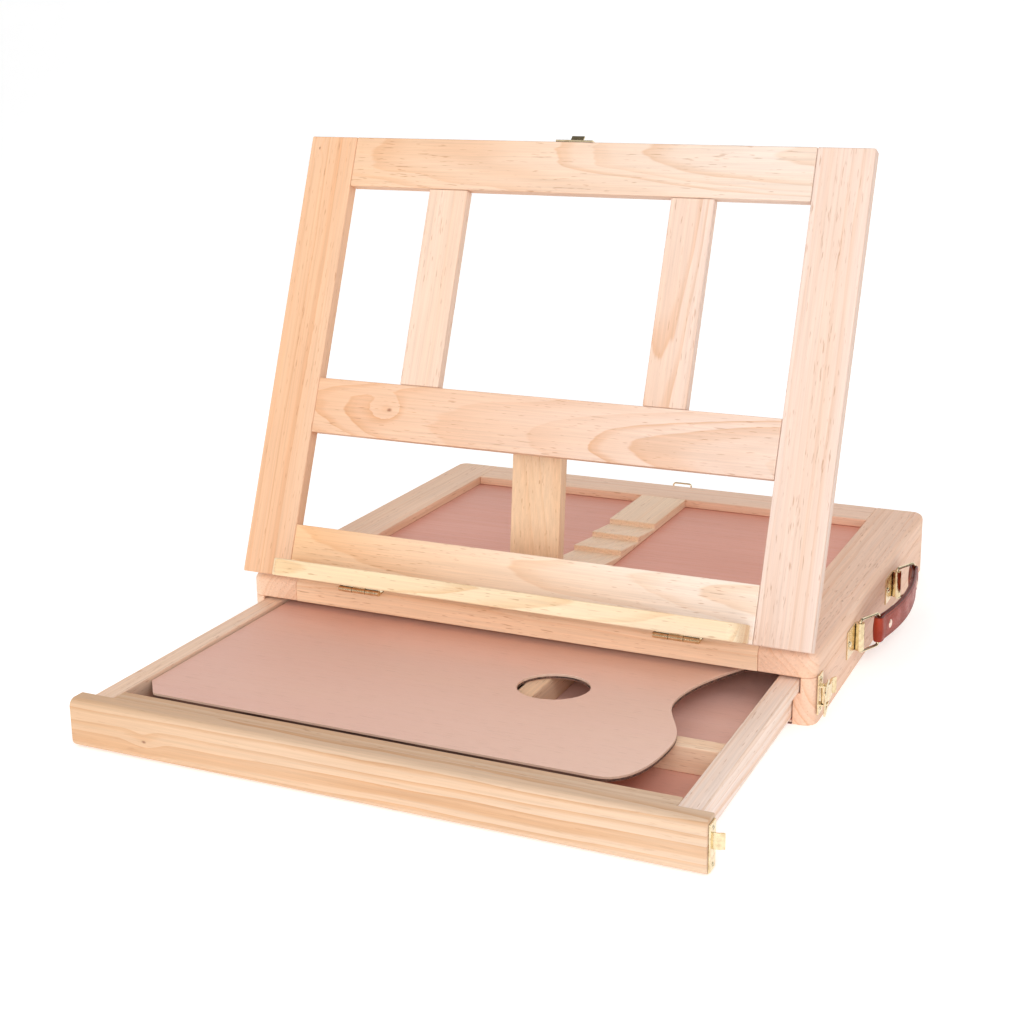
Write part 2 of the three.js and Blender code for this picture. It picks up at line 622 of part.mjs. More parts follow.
// A catch plate with a hooked lip, which may sit off the plate's middle along a.
function catchPlate(hookAt, hookHeight) {
  const half = CATCH.length / 2;
  const plate = block(-half, half, -CATCH.width / 2, CATCH.width / 2, 0, CATCH.sheet);
  const { hookSheet, hookHalf, hookLean } = CATCH;
  // The hook rises from the plate, leaning back a little more in its upper half.
  const bend = hookHeight / 2;
  const hook = polygon([
    [-hookSheet, 0], [0, 0], [-0.2 * hookLean, bend], [-hookLean, hookHeight],
    [-hookLean - hookSheet * 0.75, hookHeight - hookSheet * 0.66], [-hookSheet - 0.2 * hookLean, bend],
  ]);
  return plate.add(alongX(hook, hookAt - hookHalf, hookAt + hookHalf));
}

function latchGroup(prefix) {
  const group = new THREE.Group();
  group.add(piece(`${prefix}_plate`, latchPlate(), BRASS));
  group.add(piece(`${prefix}_pin`, latchPin(), STEEL));
  group.add(piece(`${prefix}_lever`, latchLever(), BRASS));
  group.add(latchLoop(`${prefix}_loop`));
  return group;
}

// Turns a group so that its local a, b and c run along the given directions, and moves it into place.
function mountOn(object, a, b, c, position) {
  const turn = new THREE.Matrix4().makeBasis(
    new THREE.Vector3(...a),
    new THREE.Vector3(...b),
    new THREE.Vector3(...c),
  );
  object.quaternion.setFromRotationMatrix(turn);
  object.position.set(...position);
  return object;
}

function latches() {
  const drawerLatch = mountOn(
    latchGroup('drawer_latch'), [0, 0, 1], [0, -1, 0], [1, 0, 0],
    [HALF_WIDTH, DRAWER_LATCH.y, DRAWER_LATCH.z],
  );
  const lidLatch = mountOn(
    latchGroup('lid_latch'), [-1, 0, 0], [0, 0, 1], [0, 1, 0], [0, BACK, LID_LATCH_Z],
  );
  return [drawerLatch, lidLatch];
}

function drawerCatch() {
  const y = DRAWER_FACE - DRAWER_CATCH_FROM_SHUT;
  const plate = piece('drawer_catch', catchPlate(DRAWER_HOOK.rise, DRAWER_HOOK.height), BRASS);
  const middle = (DRAWER.frontLow + DRAWER.frontHigh) / 2;
  return mountOn(plate, [0, 0, 1], [0, -1, 0], [1, 0, 0], [DRAWER.frontHalf, y, middle]);
}

// The lid's catch sits on the frame's top edge, in (x, v, n), with its hook towards the frame's front.
function lidCatch() {
  const v = FRAME.start + FRAME.length + CATCH.gap;
  const plate = piece('lid_catch', catchPlate(0, LID_HOOK_HEIGHT), BRASS);
  return mountOn(plate, [-1, 0, 0], [0, 0, 1], [0, 1, 0], [0, v, FRAME.thickness / 2]);
}

// ---------------------------------------------------------------- handle

const RING_X = HALF_WIDTH + HANDLE.standOff;

// A clip folded from sheet: a tab against the box's side and an upright sleeve for the ring.
function handleClip(name, y) {
  const z0 = HANDLE.height - CLIP.height / 2;
  const z1 = z0 + CLIP.height;
  const tab = block(HALF_WIDTH, HALF_WIDTH + CLIP.sheet, y - CLIP.tab, y, z0, z1);
  const sleeve = alongZ(disc(RING_X, y, CLIP.sleeve), z0, z1);
  const bore = alongZ(disc(RING_X, y, CLIP.bore), z0 - 1, z1 + 1);
  const through = HALF_WIDTH + CLIP.sheet + 1;
  const screwHole = rodX(HALF_WIDTH - 1, through, y - CLIP.screwAt, HANDLE.height, CLIP.screwHole);
  return piece(name, tab.add(sleeve).subtract(bore).subtract(screwHole), BRASS);
}

// A screw with a domed head, standing on the clip's tab.
function clipScrew(name, y) {
  const { shank, head, headHeight, point, play } = CLIP_SCREW;
  const seat = CLIP.sheet + play;
  const profile = [
    [0, point], [shank, point], [shank, seat], [head, seat], [head * 0.86, seat + headHeight * 0.55],
    [head * 0.52, seat + headHeight * 0.9], [0, seat + headHeight],
  ].map(([r, h]) => new THREE.Vector2(r, h));
  const screw = piece(name, solid(new THREE.LatheGeometry(profile, 14).rotateZ(-Math.PI / 2)), STEEL);
  return placed(screw, HALF_WIDTH, y - CLIP.screwAt, HANDLE.height);
}

// The ring's own frame: its inner bar is on the local y axis, and it reaches out along local x.
function handleRing(name, y) {
  const { wire, halfHeight, corner } = RING;
  const ring = piece(name, wireRing(0, HANDLE.reach, -halfHeight, halfHeight, corner, wire), BRASS);
  const reach = rad(90 - HANDLE.angle);
  const outward = new THREE.Vector3(Math.cos(reach), Math.sin(reach), 0);
  const side = new THREE.Vector3(Math.sin(reach), -Math.cos(reach), 0);
  ring.quaternion.setFromRotationMatrix(
    new THREE.Matrix4().makeBasis(outward, new THREE.Vector3(0, 0, 1), side),
  );
  return placed(ring, RING_X, y, HANDLE.height);
}

// The strap between the rings' outer bars: bowed away from the box, with an eye around each bar.
function handleStrap() {
  const x = RING_X + HANDLE.reach * Math.sin(rad(HANDLE.angle));
  const y0 = HANDLE.front + HANDLE.reach * Math.cos(rad(HANDLE.angle));
  const y1 = y0 + HANDLE.pitch;
  const z0 = HANDLE.height - STRAP.height / 2;
  const z1 = z0 + STRAP.height;
  const half = STRAP.thickness / 2;
  const middle = (y0 + y1) / 2;
  const outline = new THREE.Shape();
  const peak = 2 * STRAP.bow;
  outline.moveTo(x + half, y0);
  outline.quadraticCurveTo(x + half + peak, middle, x + half, y1);
  outline.lineTo(x - half, y1);
  outline.quadraticCurveTo(x - half + peak, middle, x - half, y0);
  let strap = alongZ(outline, z0, z1, 20);
  for (const y of [y0, y1]) {
    strap = strap.add(alongZ(disc(x, y, STRAP.eye), z0, z1));
    strap = strap.subtract(alongZ(disc(x, y, STRAP.eyeBore), z0 - 1, z1 + 1));
  }
  for (const rivet of rivetPlaces()) {
    const bore = alongZ(disc(0, 0, RIVET.hole), -STRAP.thickness * 2, STRAP.thickness * 2);
    strap = strap.subtract(bore.rotate([0, 90, 0]).rotate([0, 0, rivet.turn]).translate(rivet.at));
  }
  return piece('handle_strap', strap, LEATHER);
}

// Where each rivet goes through the strap, and how the strap's slope turns it about Z.
function rivetPlaces() {
  const x = RING_X + HANDLE.reach * Math.sin(rad(HANDLE.angle));
  const y0 = HANDLE.front + HANDLE.reach * Math.cos(rad(HANDLE.angle));
  return [STRAP.rivetAt, HANDLE.pitch - STRAP.rivetAt].map((along) => {
    const t = along / HANDLE.pitch;
    const bow = 4 * STRAP.bow * t * (1 - t);
    const slope = (4 * STRAP.bow * (1 - 2 * t)) / HANDLE.pitch;
    return { at: [x + bow, y0 + along, HANDLE.height], turn: -THREE.MathUtils.radToDeg(Math.atan(slope)) };
  });
}

// A rivet with a domed head outside and a flat one inside.
function rivets() {
  const half = STRAP.thickness / 2 + RIVET.play;
  const { shank, head, headHeight } = RIVET;
  const profile = [
    [0, -half - headHeight * 0.7], [head * 0.8, -half - headHeight * 0.7], [head * 0.9, -half],
    [shank, -half], [shank, half], [head, half], [head * 0.85, half + headHeight * 0.6],
    [head * 0.5, half + headHeight * 0.95], [0, half + headHeight],
  ].map(([r, h]) => new THREE.Vector2(r, h));
  const shape = solid(new THREE.LatheGeometry(profile, 16).rotateZ(-Math.PI / 2));
  return rivetPlaces().map(({ at, turn }, i) => {
    const rivet = piece(`handle_rivet_${i === 0 ? 'front' : 'rear'}`, shape, COPPER);
    rivet.rotation.z = rad(turn);
    return placed(rivet, ...at);
  });
}

function handleParts() {
  const rear = HANDLE.front + HANDLE.pitch;
  return [
    handleClip('handle_clip_front', HANDLE.front),
    handleClip('handle_clip_rear', rear),
    clipScrew('handle_clip_screw_front', HANDLE.front),
    clipScrew('handle_clip_screw_rear', rear),
    handleRing('handle_ring_front', HANDLE.front),
    handleRing('handle_ring_rear', rear),
    handleStrap(),
    ...rivets(),
  ];
}

// ---------------------------------------------------------------- assembly

const easel = new THREE.Group();
easel.add(...carcass(), ...boxTop(), ...lowerHingeParts());
easel.add(...drawerParts(), palette(), drawerCatch());
easel.add(...latches(), ...handleParts());

const canvasFrame = new THREE.Group();
canvasFrame.position.set(0, FRAME_HINGE.y, FRAME_HINGE.z);
canvasFrame.rotation.x = rad(FRAME.tilt);
canvasFrame.add(...frameParts(), ...upperHingeParts(), ...strutFixedLeaf(), lidCatch(), strutGroup());
easel.add(canvasFrame);

export default easel;
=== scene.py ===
"""A table box easel: pine boards, pinkish plywood, brass fittings and a leather carrying handle."""

import json
import math

import bpy
import bmesh
from mathutils import Euler, Matrix, Vector


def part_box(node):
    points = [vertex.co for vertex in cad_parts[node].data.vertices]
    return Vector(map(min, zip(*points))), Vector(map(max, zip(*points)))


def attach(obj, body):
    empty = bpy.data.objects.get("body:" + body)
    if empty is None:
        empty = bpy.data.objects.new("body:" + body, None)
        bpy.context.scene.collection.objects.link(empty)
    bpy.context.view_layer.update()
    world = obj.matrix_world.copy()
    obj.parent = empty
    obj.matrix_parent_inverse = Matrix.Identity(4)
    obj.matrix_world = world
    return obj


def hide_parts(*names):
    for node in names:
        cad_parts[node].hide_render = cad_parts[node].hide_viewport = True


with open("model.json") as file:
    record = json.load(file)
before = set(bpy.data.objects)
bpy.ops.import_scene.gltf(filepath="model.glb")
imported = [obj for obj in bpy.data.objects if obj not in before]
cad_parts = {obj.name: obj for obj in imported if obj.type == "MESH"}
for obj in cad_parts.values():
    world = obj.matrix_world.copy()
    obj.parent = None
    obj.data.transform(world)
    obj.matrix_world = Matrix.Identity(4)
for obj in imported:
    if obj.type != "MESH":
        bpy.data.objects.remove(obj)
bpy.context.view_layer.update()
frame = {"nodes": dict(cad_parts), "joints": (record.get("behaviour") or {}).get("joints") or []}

MM = 0.001
FRAME_TILT = math.radians(68.2)
NODES = frame["nodes"]
JOINTS = {joint["name"]: joint for joint in frame["joints"]}

# ---------------------------------------------------------------- node helpers


class Graph:
    """Adds nodes to a node tree and wires each input from a value or from another socket."""

    def __init__(self, tree):
        self.tree = tree

    def feed(self, socket, value):
        if isinstance(value, bpy.types.NodeSocket):
            self.tree.links.new(value, socket)
        else:
            socket.default_value = value

    def add(self, kind, inputs=None, **settings):
        node = self.tree.nodes.new(kind)
        for name, value in settings.items():
            setattr(node, name, value)
        for key, value in (inputs or {}).items():
            self.feed(node.inputs[key], value)
        return node

    def math(self, operation, a, b=0.0, clamp=False):
        node = self.add("ShaderNodeMath", {0: a, 1: b}, operation=operation, use_clamp=clamp)
        return node.outputs[0]

    def vector(self, operation, a, b=(0.0, 0.0, 0.0)):
        node = self.add("ShaderNodeVectorMath", {0: a, 1: b}, operation=operation)
        return node.outputs["Value" if operation == "LENGTH" else "Vector"]

    def noise(self, vector, stretch, detail=2.0, roughness=0.5):
        """Noise whose scale differs along the three axes, in cycles per millimetre."""
        scaled = self.vector("MULTIPLY", vector, stretch)
        inputs = {"Vector": scaled, "Scale": 1.0, "Detail": detail, "Roughness": roughness}
        return self.add("ShaderNodeTexNoise", inputs).outputs["Fac"]

    def span(self, value, low, high, to_low=0.0, to_high=1.0, smooth=True):
        kind = "SMOOTHSTEP" if smooth else "LINEAR"
        inputs = {0: value, 1: low, 2: high, 3: to_low, 4: to_high}
        return self.add("ShaderNodeMapRange", inputs, interpolation_type=kind).outputs[0]

    def mix(self, factor, a, b, blend="MIX"):
        node = self.add("ShaderNodeMix", {0: factor, 6: a, 7: b}, data_type="RGBA", blend_type=blend)
        return node.outputs[2]

    def grey(self, value):
        """A float as a grey colour, or as a vector of three equal parts."""
        return self.add("ShaderNodeCombineColor", {0: value, 1: value, 2: value}).outputs[0]

    def ramp(self, factor, stops, interpolation="EASE"):
        node = self.add("ShaderNodeValToRGB", {0: factor})
        ramp = node.color_ramp
        ramp.interpolation = interpolation
        while len(ramp.elements) < len(stops):
            ramp.elements.new(0.5)
        for element, (place, value) in zip(ramp.elements, stops):
            element.position = place
            element.color = value if isinstance(value, tuple) else (value, value, value, 1.0)
        return node.outputs["Color"]


def rgb(red, green, blue):
    """A linear colour as Blender's sockets take it."""
    return (red, green, blue, 1.0)


def start_material(name):
    material = bpy.data.materials.new(name)
    material.use_nodes = True
    material.node_tree.nodes.clear()
    return material, Graph(material.node_tree)


def end_material(graph, color, roughness, height=None, depth=0.1 * MM, **surface):
    """Closes a material with a principled surface, and a bump of the given depth where height is given."""
    inputs = {"Base Color": color, "Roughness": roughness}
    inputs.update(surface)
    if height is not None:
        bump = graph.add("ShaderNodeBump", {"Height": height, "Distance": depth, "Strength": 1.0})
        inputs["Normal"] = bump.outputs["Normal"]
    shader = graph.add("ShaderNodeBsdfPrincipled", inputs)
    output = graph.add("ShaderNodeOutputMaterial")
    graph.tree.links.new(shader.outputs["BSDF"], output.inputs["Surface"])


def millimetres(graph, turn=(0.0, 0.0, 0.0)):
    """The piece's own coordinates in millimetres, turned so that the grain runs along local X."""
    place = graph.add("ShaderNodeTexCoord").outputs["Object"]
    inputs = {"Vector": place, "Rotation": Euler(turn), "Scale": (1 / MM, 1 / MM, 1 / MM)}
    return graph.add("ShaderNodeMapping", inputs).outputs["Vector"]


# ---------------------------------------------------------------- pine

# Inside a material, lengths are in millimetres and noise scales in cycles per millimetre. A scale that
# is low along the grain and high across it draws the pattern out into streaks.
FAR = 1e5
SEED_STEPS = (311.0, 73.0, 41.0)
RING_PROFILE = [(0.0, 0.05), (0.45, 0.16), (0.78, 0.75), (0.92, 1.0), (1.0, 0.05)]
RING_FAINTEST = 0.35
RING_PATCHES = (0.006, 0.03, 0.03)
SLOW_WAVER = (0.0045, 0.02, 0.02)
QUICK_WAVER = (0.018, 0.12, 0.12)
QUICK_WAVER_DEPTH = 1.8
UNEVEN_SCALE = 0.07
UNEVEN_RINGS = 3.0
FIBRES = (0.016, 0.8, 0.8)
FLECKS = (0.1, 1.05, 1.05)
FLECK_PATCHES = (0.01, 0.05, 0.05)
TONE = (0.0025, 0.035, 0.035)
# A knot, in multiples of its size: a ragged core, and the reach and strength of its push on the rings.
KNOT_RAGGED = ((0.5, 0.9, 0.9), 0.7)
KNOT_CORE = (1.5, 0.5)
KNOT_REACH = 11.0
KNOT_PUSH = 3.2


def declare_sockets(tree):
    vectors = ("Vector", "Pith", "Lean", "Knot", "Knot Shape")
    floats = ("Knot Size", "Spacing", "Wobble", "Seed")
    for name in vectors + floats:
        kind = "NodeSocketVector" if name in vectors else "NodeSocketFloat"
        tree.interface.new_socket(name, in_out="INPUT", socket_type=kind)
    for name in ("Rings", "Fibres", "Flecks", "Tone", "Knot Mask"):
        tree.interface.new_socket(name, in_out="OUTPUT", socket_type="NodeSocketFloat")


def own_place(graph, given):
    """Moves each board's noise to a place of its own."""
    steps = {i: graph.math("MULTIPLY", given["Seed"], step) for i, step in enumerate(SEED_STEPS)}
    shift = graph.add("ShaderNodeCombineXYZ", steps).outputs[0]
    return graph.vector("ADD", given["Vector"], shift)


def from_knot(graph, given, place):
    """The distance from the knot's core in knot sizes, with a ragged outline."""
    away = graph.vector("SUBTRACT", given["Vector"], given["Knot"])
    away = graph.vector("LENGTH", graph.vector("MULTIPLY", away, given["Knot Shape"]))
    scale, depth = KNOT_RAGGED
    ragged = graph.math("MULTIPLY", graph.noise(place, scale, 2.0), depth)
    return graph.math("ADD", graph.math("DIVIDE", away, given["Knot Size"]), ragged)


def ring_radius(graph, given, place, push):
    """Rings are shells around the pith line, which leans, and they waver slowly along the grain."""
    across = graph.vector("SUBTRACT", given["Vector"], given["Pith"])
    along = graph.add("ShaderNodeSeparateXYZ", {0: across}).outputs[0]
    lean = graph.vector("MULTIPLY", given["Lean"], graph.grey(along))
    across = graph.vector("MULTIPLY", graph.vector("SUBTRACT", across, lean), (0.0, 1.0, 1.0))
    radius = graph.vector("LENGTH", across)
    slow = graph.math("SUBTRACT", graph.noise(place, SLOW_WAVER), 0.5)
    quick = graph.math("SUBTRACT", graph.noise(place, QUICK_WAVER), 0.5)
    radius = graph.math("ADD", radius, graph.math("MULTIPLY", slow, given["Wobble"]))
    radius = graph.math("ADD", radius, graph.math("MULTIPLY", quick, QUICK_WAVER_DEPTH))
    return graph.math("ADD", radius, push)


def ring_strength(graph, given, place, radius):
    """How much latewood there is: unevenly spaced rings of differing strength, fading in patches."""
    seed = given["Seed"]
    slow_radius = graph.math("MULTIPLY", radius, UNEVEN_SCALE)
    uneven = graph.add("ShaderNodeTexNoise", {
        "W": graph.math("ADD", slow_radius, graph.math("MULTIPLY", seed, 9.0)),
        "Scale": 1.0,
    }, noise_dimensions="1D").outputs["Fac"]
    even = graph.math("DIVIDE", radius, given["Spacing"])
    phase = graph.math("ADD", even, graph.math("MULTIPLY", uneven, UNEVEN_RINGS))
    profile = graph.ramp(graph.math("FRACT", phase), RING_PROFILE)
    each = graph.add("ShaderNodeTexWhiteNoise", {
        "W": graph.math("ADD", graph.math("FLOOR", phase), seed),
    }, noise_dimensions="1D").outputs["Value"]
    rings = graph.math("MULTIPLY", profile, graph.span(each, 0.0, 1.0, RING_FAINTEST, 1.0))
    patch = graph.span(graph.noise(place, RING_PATCHES), 0.35, 0.65, 0.6, 1.0)
    return graph.math("MULTIPLY", rings, patch)


def fleck_strength(graph, place):
    """Short dark ticks, fewer in some patches."""
    flecks = graph.noise(place, FLECKS, 1.0)
    sparse = graph.span(graph.noise(place, FLECK_PATCHES), 0.4, 0.62, 0.06, 0.0)
    return graph.span(graph.math("SUBTRACT", flecks, sparse), 0.62, 0.72)


def pine_grain():
    """A node group: growth rings around a pith line, with fibres, flecks and one knot. X is the grain."""
    tree = bpy.data.node_groups.new("pine_grain", "ShaderNodeTree")
    declare_sockets(tree)
    graph = Graph(tree)
    given = graph.add("NodeGroupInput").outputs
    place = own_place(graph, given)
    knot = from_knot(graph, given, place)
    pushed = graph.math("MULTIPLY", given["Knot Size"], KNOT_PUSH)
    push = graph.math("MULTIPLY", graph.span(knot, KNOT_REACH, 0.0), pushed)
    results = {
        "Rings": ring_strength(graph, given, place, ring_radius(graph, given, place, push)),
        "Fibres": graph.noise(place, FIBRES, 4.0, 0.65),
        "Flecks": fleck_strength(graph, place),
        "Tone": graph.span(graph.noise(place, TONE, 2.0), 0.3, 0.7),
        "Knot Mask": graph.span(knot, *KNOT_CORE),
    }
    graph.add("NodeGroupOutput", results)
    return tree


PINE_GRAIN = pine_grain()

# The wood's colour at the left and at the right of the easel, for each group of boards; the right one is
# paler and less saturated as painted light, standing in for light falling more strongly from the right.
PINE_LOOKS_WITH_PAINTED_LIGHT = {
    "frame": (rgb(0.79, 0.49, 0.305), rgb(0.79, 0.61, 0.52)),
    "rail": (rgb(0.80, 0.52, 0.33), rgb(0.80, 0.67, 0.59)),
    "low rail": (rgb(0.87, 0.54, 0.29), rgb(0.90, 0.78, 0.70)),
    "pale": (rgb(0.81, 0.60, 0.47), rgb(0.81, 0.61, 0.50)),
    "top": (rgb(0.86, 0.59, 0.42), rgb(0.86, 0.58, 0.43)),
    "nose": (rgb(0.90, 0.66, 0.46), rgb(0.90, 0.66, 0.48)),
    "drawer": (rgb(0.67, 0.45, 0.285), rgb(0.71, 0.53, 0.39)),
    "strut": (rgb(0.78, 0.52, 0.31), rgb(0.80, 0.58, 0.40)),
    "tray": (rgb(0.88, 0.65, 0.50), rgb(0.92, 0.77, 0.70)),
    "ledge": (rgb(0.88, 0.70, 0.45), rgb(0.88, 0.71, 0.50)),
}
# Painted light: the colour changes from the left one to the right one between these places, in millimetres.
PAINTED_LIGHT_FROM = -190.0
PAINTED_LIGHT_TO = 130.0
# What each grain feature does to the colour under it.
DEEPER = rgb(0.98, 0.93, 0.87)
LATEWOOD = rgb(0.84, 0.65, 0.47)
FLECK = rgb(0.62, 0.45, 0.33)
KNOT = rgb(0.34, 0.17, 0.10)

ALONG_X = (0.0, 0.0, 0.0)
ALONG_Y = (0.0, 0.0, -math.pi / 2)
ALONG_Z = (0.0, math.pi / 2, 0.0)
UP_FRAME = (-FRAME_TILT, 0.0, -math.pi / 2)
ACROSS_FRAME = (-FRAME_TILT, 0.0, 0.0)
# A knot is longer along the grain, and runs through the board along its depth or across it.
KNOT_THROUGH_DEPTH = (0.6, 1.0, 0.12)
KNOT_ACROSS = (0.6, 0.12, 1.0)
KNOT_DARKNESS = 0.8
WOOD_RELIEF = 0.05 * MM
THIN_VARNISH = {"Coat Weight": 0.08, "Coat Roughness": 0.35}


def grain_place(node, turn, offset):
    """A place given from the board's middle, along and across its grain, in grain millimetres."""
    low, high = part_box(node)
    middle = Euler(turn).to_matrix() @ ((low + high) / (2 * MM))
    return middle + Vector(offset)


def pine(
    node, look, turn, seed, pith, spacing,
    wobble=6.0, contrast=0.6, flecks=0.6, knot=None, lean=(0.0, 0.0),
):
    """A board's wood: its own cut through a tree, with a thin clear varnish."""
    left, right = PINE_LOOKS_WITH_PAINTED_LIGHT[look]
    material, graph = start_material("pine_" + node)
    knot_offset, knot_size, knot_shape = knot or ((FAR, FAR, FAR), 1.0, KNOT_THROUGH_DEPTH)
    settings = {
        "Vector": millimetres(graph, turn), "Pith": grain_place(node, turn, (0.0, *pith)),
        "Knot": grain_place(node, turn, knot_offset), "Knot Size": knot_size, "Knot Shape": knot_shape,
        "Lean": (0.0, *lean), "Spacing": spacing, "Wobble": wobble, "Seed": seed,
    }
    grain = graph.add("ShaderNodeGroup", node_tree=PINE_GRAIN)
    for key, value in settings.items():
        graph.feed(grain.inputs[key], value)
    out = grain.outputs
    # Painted light: the board's colour pales from left to right across the easel, where the light falls
    # more strongly.
    sideways = graph.add("ShaderNodeSeparateXYZ", {0: millimetres(graph)}).outputs[0]
    color = graph.mix(graph.span(sideways, PAINTED_LIGHT_FROM, PAINTED_LIGHT_TO, smooth=False), left, right)
    color = graph.mix(out["Tone"], color, DEEPER, "MULTIPLY")
    color = graph.mix(graph.math("MULTIPLY", out["Rings"], contrast), color, LATEWOOD, "MULTIPLY")
    fibres = graph.span(out["Fibres"], 0.3, 0.7, 0.9, 1.08, smooth=False)
    color = graph.mix(1.0, color, graph.grey(fibres), "MULTIPLY")
    color = graph.mix(graph.math("MULTIPLY", out["Flecks"], flecks), color, FLECK, "MULTIPLY")
    color = graph.mix(graph.math("MULTIPLY", out["Knot Mask"], KNOT_DARKNESS), color, KNOT, "MULTIPLY")
    rough = graph.span(out["Fibres"], 0.3, 0.7, 0.5, 0.62, smooth=False)
    relief = graph.math("SUBTRACT", out["Fibres"], graph.math("MULTIPLY", out["Rings"], 0.5))
    end_material(graph, color, rough, relief, WOOD_RELIEF, **THIN_VARNISH)
    return material


# ---------------------------------------------------------------- plywood, metal and leather

# The veneer's figure, its lines and its pores.
VENEER_FIGURE = (0.0035, 0.03, 0.03)
VENEER_LINES = (0.01, 0.55, 0.55)
VENEER_PORES = (0.09, 1.7, 1.7)
VENEER_SEED_STEPS = (211.0, 37.0, 59.0)
PLY_RELIEF = 0.06 * MM
THIN_LACQUER = {"Coat Weight": 0.06, "Coat Roughness": 0.4}
# A ply's colour on a sheet's edge, and the near-black painted shadow along the edge's lower part.
PLY_EDGE_AND_SHADOW = (rgb(0.74, 0.54, 0.42), rgb(0.03, 0.013, 0.01))
# The share of a sheet's thickness, from below, painted near-black on the edge: a painted shadow of the gap
# beneath the sheet.
PAINTED_SHADOW_PLIES = 0.52
# A sheet's colour is multiplied towards another from one place to another in millimetres, along X or along
# Y: on the palette this is painted light, paler to the right where the light falls more strongly; on the
# drawer floor it is painted light, paler towards the back under the box's shade; on the panels it is a
# slight warmer tint towards the right.
ACROSS_SHEET = (-180.0, 150.0, 0)
INTO_DRAWER = (-320.0, -200.0, 1)


def plywood(node, face, grain, pore, shift, seed):
    """Face veneer with short pores along X, and pale plies on the edges above a painted shadow."""
    edge_light, painted_edge_shadow = PLY_EDGE_AND_SHADOW
    (place_from, place_to, axis), shifted_to = shift
    material, graph = start_material("plywood_" + node)
    low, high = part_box(node)
    place = millimetres(graph)
    shifted = graph.vector("ADD", place, tuple(seed * step for step in VENEER_SEED_STEPS))
    broad = graph.span(graph.noise(shifted, VENEER_FIGURE, 3.0), 0.3, 0.7)
    lines = graph.span(graph.noise(shifted, VENEER_LINES, 3.0, 0.65), 0.35, 0.7)
    pores = graph.span(graph.noise(shifted, VENEER_PORES, 2.0), 0.6, 0.72)
    across = graph.add("ShaderNodeSeparateXYZ", {0: place}).outputs[axis]
    color = graph.mix(graph.math("MULTIPLY", broad, 0.7), face, grain)
    color = graph.mix(graph.math("MULTIPLY", lines, 0.35), color, grain)
    color = graph.mix(graph.math("MULTIPLY", pores, 0.4), color, pore)
    # The colour is multiplied towards shifted_to across the given span; on the palette and the drawer floor
    # this is painted light.
    other = graph.mix(1.0, color, shifted_to, "MULTIPLY")
    color = graph.mix(graph.span(across, place_from, place_to, smooth=False), color, other)
    normal = graph.add("ShaderNodeSeparateXYZ", {0: graph.add("ShaderNodeTexCoord").outputs["Normal"]})
    on_edge = graph.span(graph.math("ABSOLUTE", normal.outputs[2]), 0.6, 0.4)
    height = graph.add("ShaderNodeSeparateXYZ", {0: place}).outputs[2]
    ply = graph.span(height, low.z / MM, high.z / MM, smooth=False)
    # Painted shadow: the lower part of each edge is near-black, where the gap beneath the sheet would be
    # shaded.
    edge = graph.ramp(ply, [(0.0, painted_edge_shadow), (PAINTED_SHADOW_PLIES, edge_light)], "CONSTANT")
    edge = graph.mix(graph.math("MULTIPLY", lines, 0.4), edge, pore)
    color = graph.mix(on_edge, color, edge)
    rough = graph.span(lines, 0.0, 1.0, 0.5, 0.66)
    relief = graph.math("SUBTRACT", graph.math("MULTIPLY", lines, 0.4), pores)
    end_material(graph, color, rough, relief, PLY_RELIEF, **THIN_LACQUER)
    return material


# What gathers in a fitting's corners and under its edges, and how near a wall has to be for it.
TARNISH = rgb(0.07, 0.05, 0.03)
TARNISH_REACH = 1.0 * MM
METAL_SEED_STEPS = (19.0, 7.0, 3.0)
METAL_PATCHES = (0.35, 0.35, 0.35)
METAL_BRUSHING = (0.6, 0.6, 9.0)
METAL_DENTS = (0.5, 0.5, 0.5)
METAL_RELIEF = 0.12 * MM


def metal(name, bright, dull, rough_low, rough_high, seed):
    """Plated metal with faint brushing, a patchy tone and tiny dents."""
    material, graph = start_material(name)
    place = graph.vector("ADD", millimetres(graph), tuple(seed * step for step in METAL_SEED_STEPS))
    patches = graph.span(graph.noise(place, METAL_PATCHES, 3.0), 0.35, 0.7)
    brushing = graph.noise(place, METAL_BRUSHING, 3.0, 0.7)
    color = graph.mix(patches, bright, dull)
    open_air = graph.add("ShaderNodeAmbientOcclusion", {"Distance": TARNISH_REACH}, samples=8).outputs["AO"]
    color = graph.mix(graph.span(open_air, 0.15, 0.7), TARNISH, color)
    rough = graph.span(brushing, 0.3, 0.7, rough_low, rough_high)
    dents = graph.noise(place, METAL_DENTS, 3.0)
    relief = graph.math("ADD", dents, graph.math("MULTIPLY", brushing, 0.08))
    end_material(graph, color, rough, relief, METAL_RELIEF, Metallic=1.0)
    return material


LEATHER_SEED_STEPS = (5.0, 3.0, 2.0)
LEATHER_WARP = (0.8, 0.8, 0.8)
LEATHER_CELLS = 1.1
LEATHER_CREASES = (0.3, 0.3, 1.1)
LEATHER_BLOTCHES = (0.07, 0.07, 0.09)
LEATHER_RELIEF = 0.12 * MM
# How far in from a cut edge its darker finish starts and where it is full.
LEATHER_EDGE = (1.1, 0.2)
LEATHER_POLISH = {"Specular IOR Level": 0.12, "Coat Weight": 0.22, "Coat Roughness": 0.22}


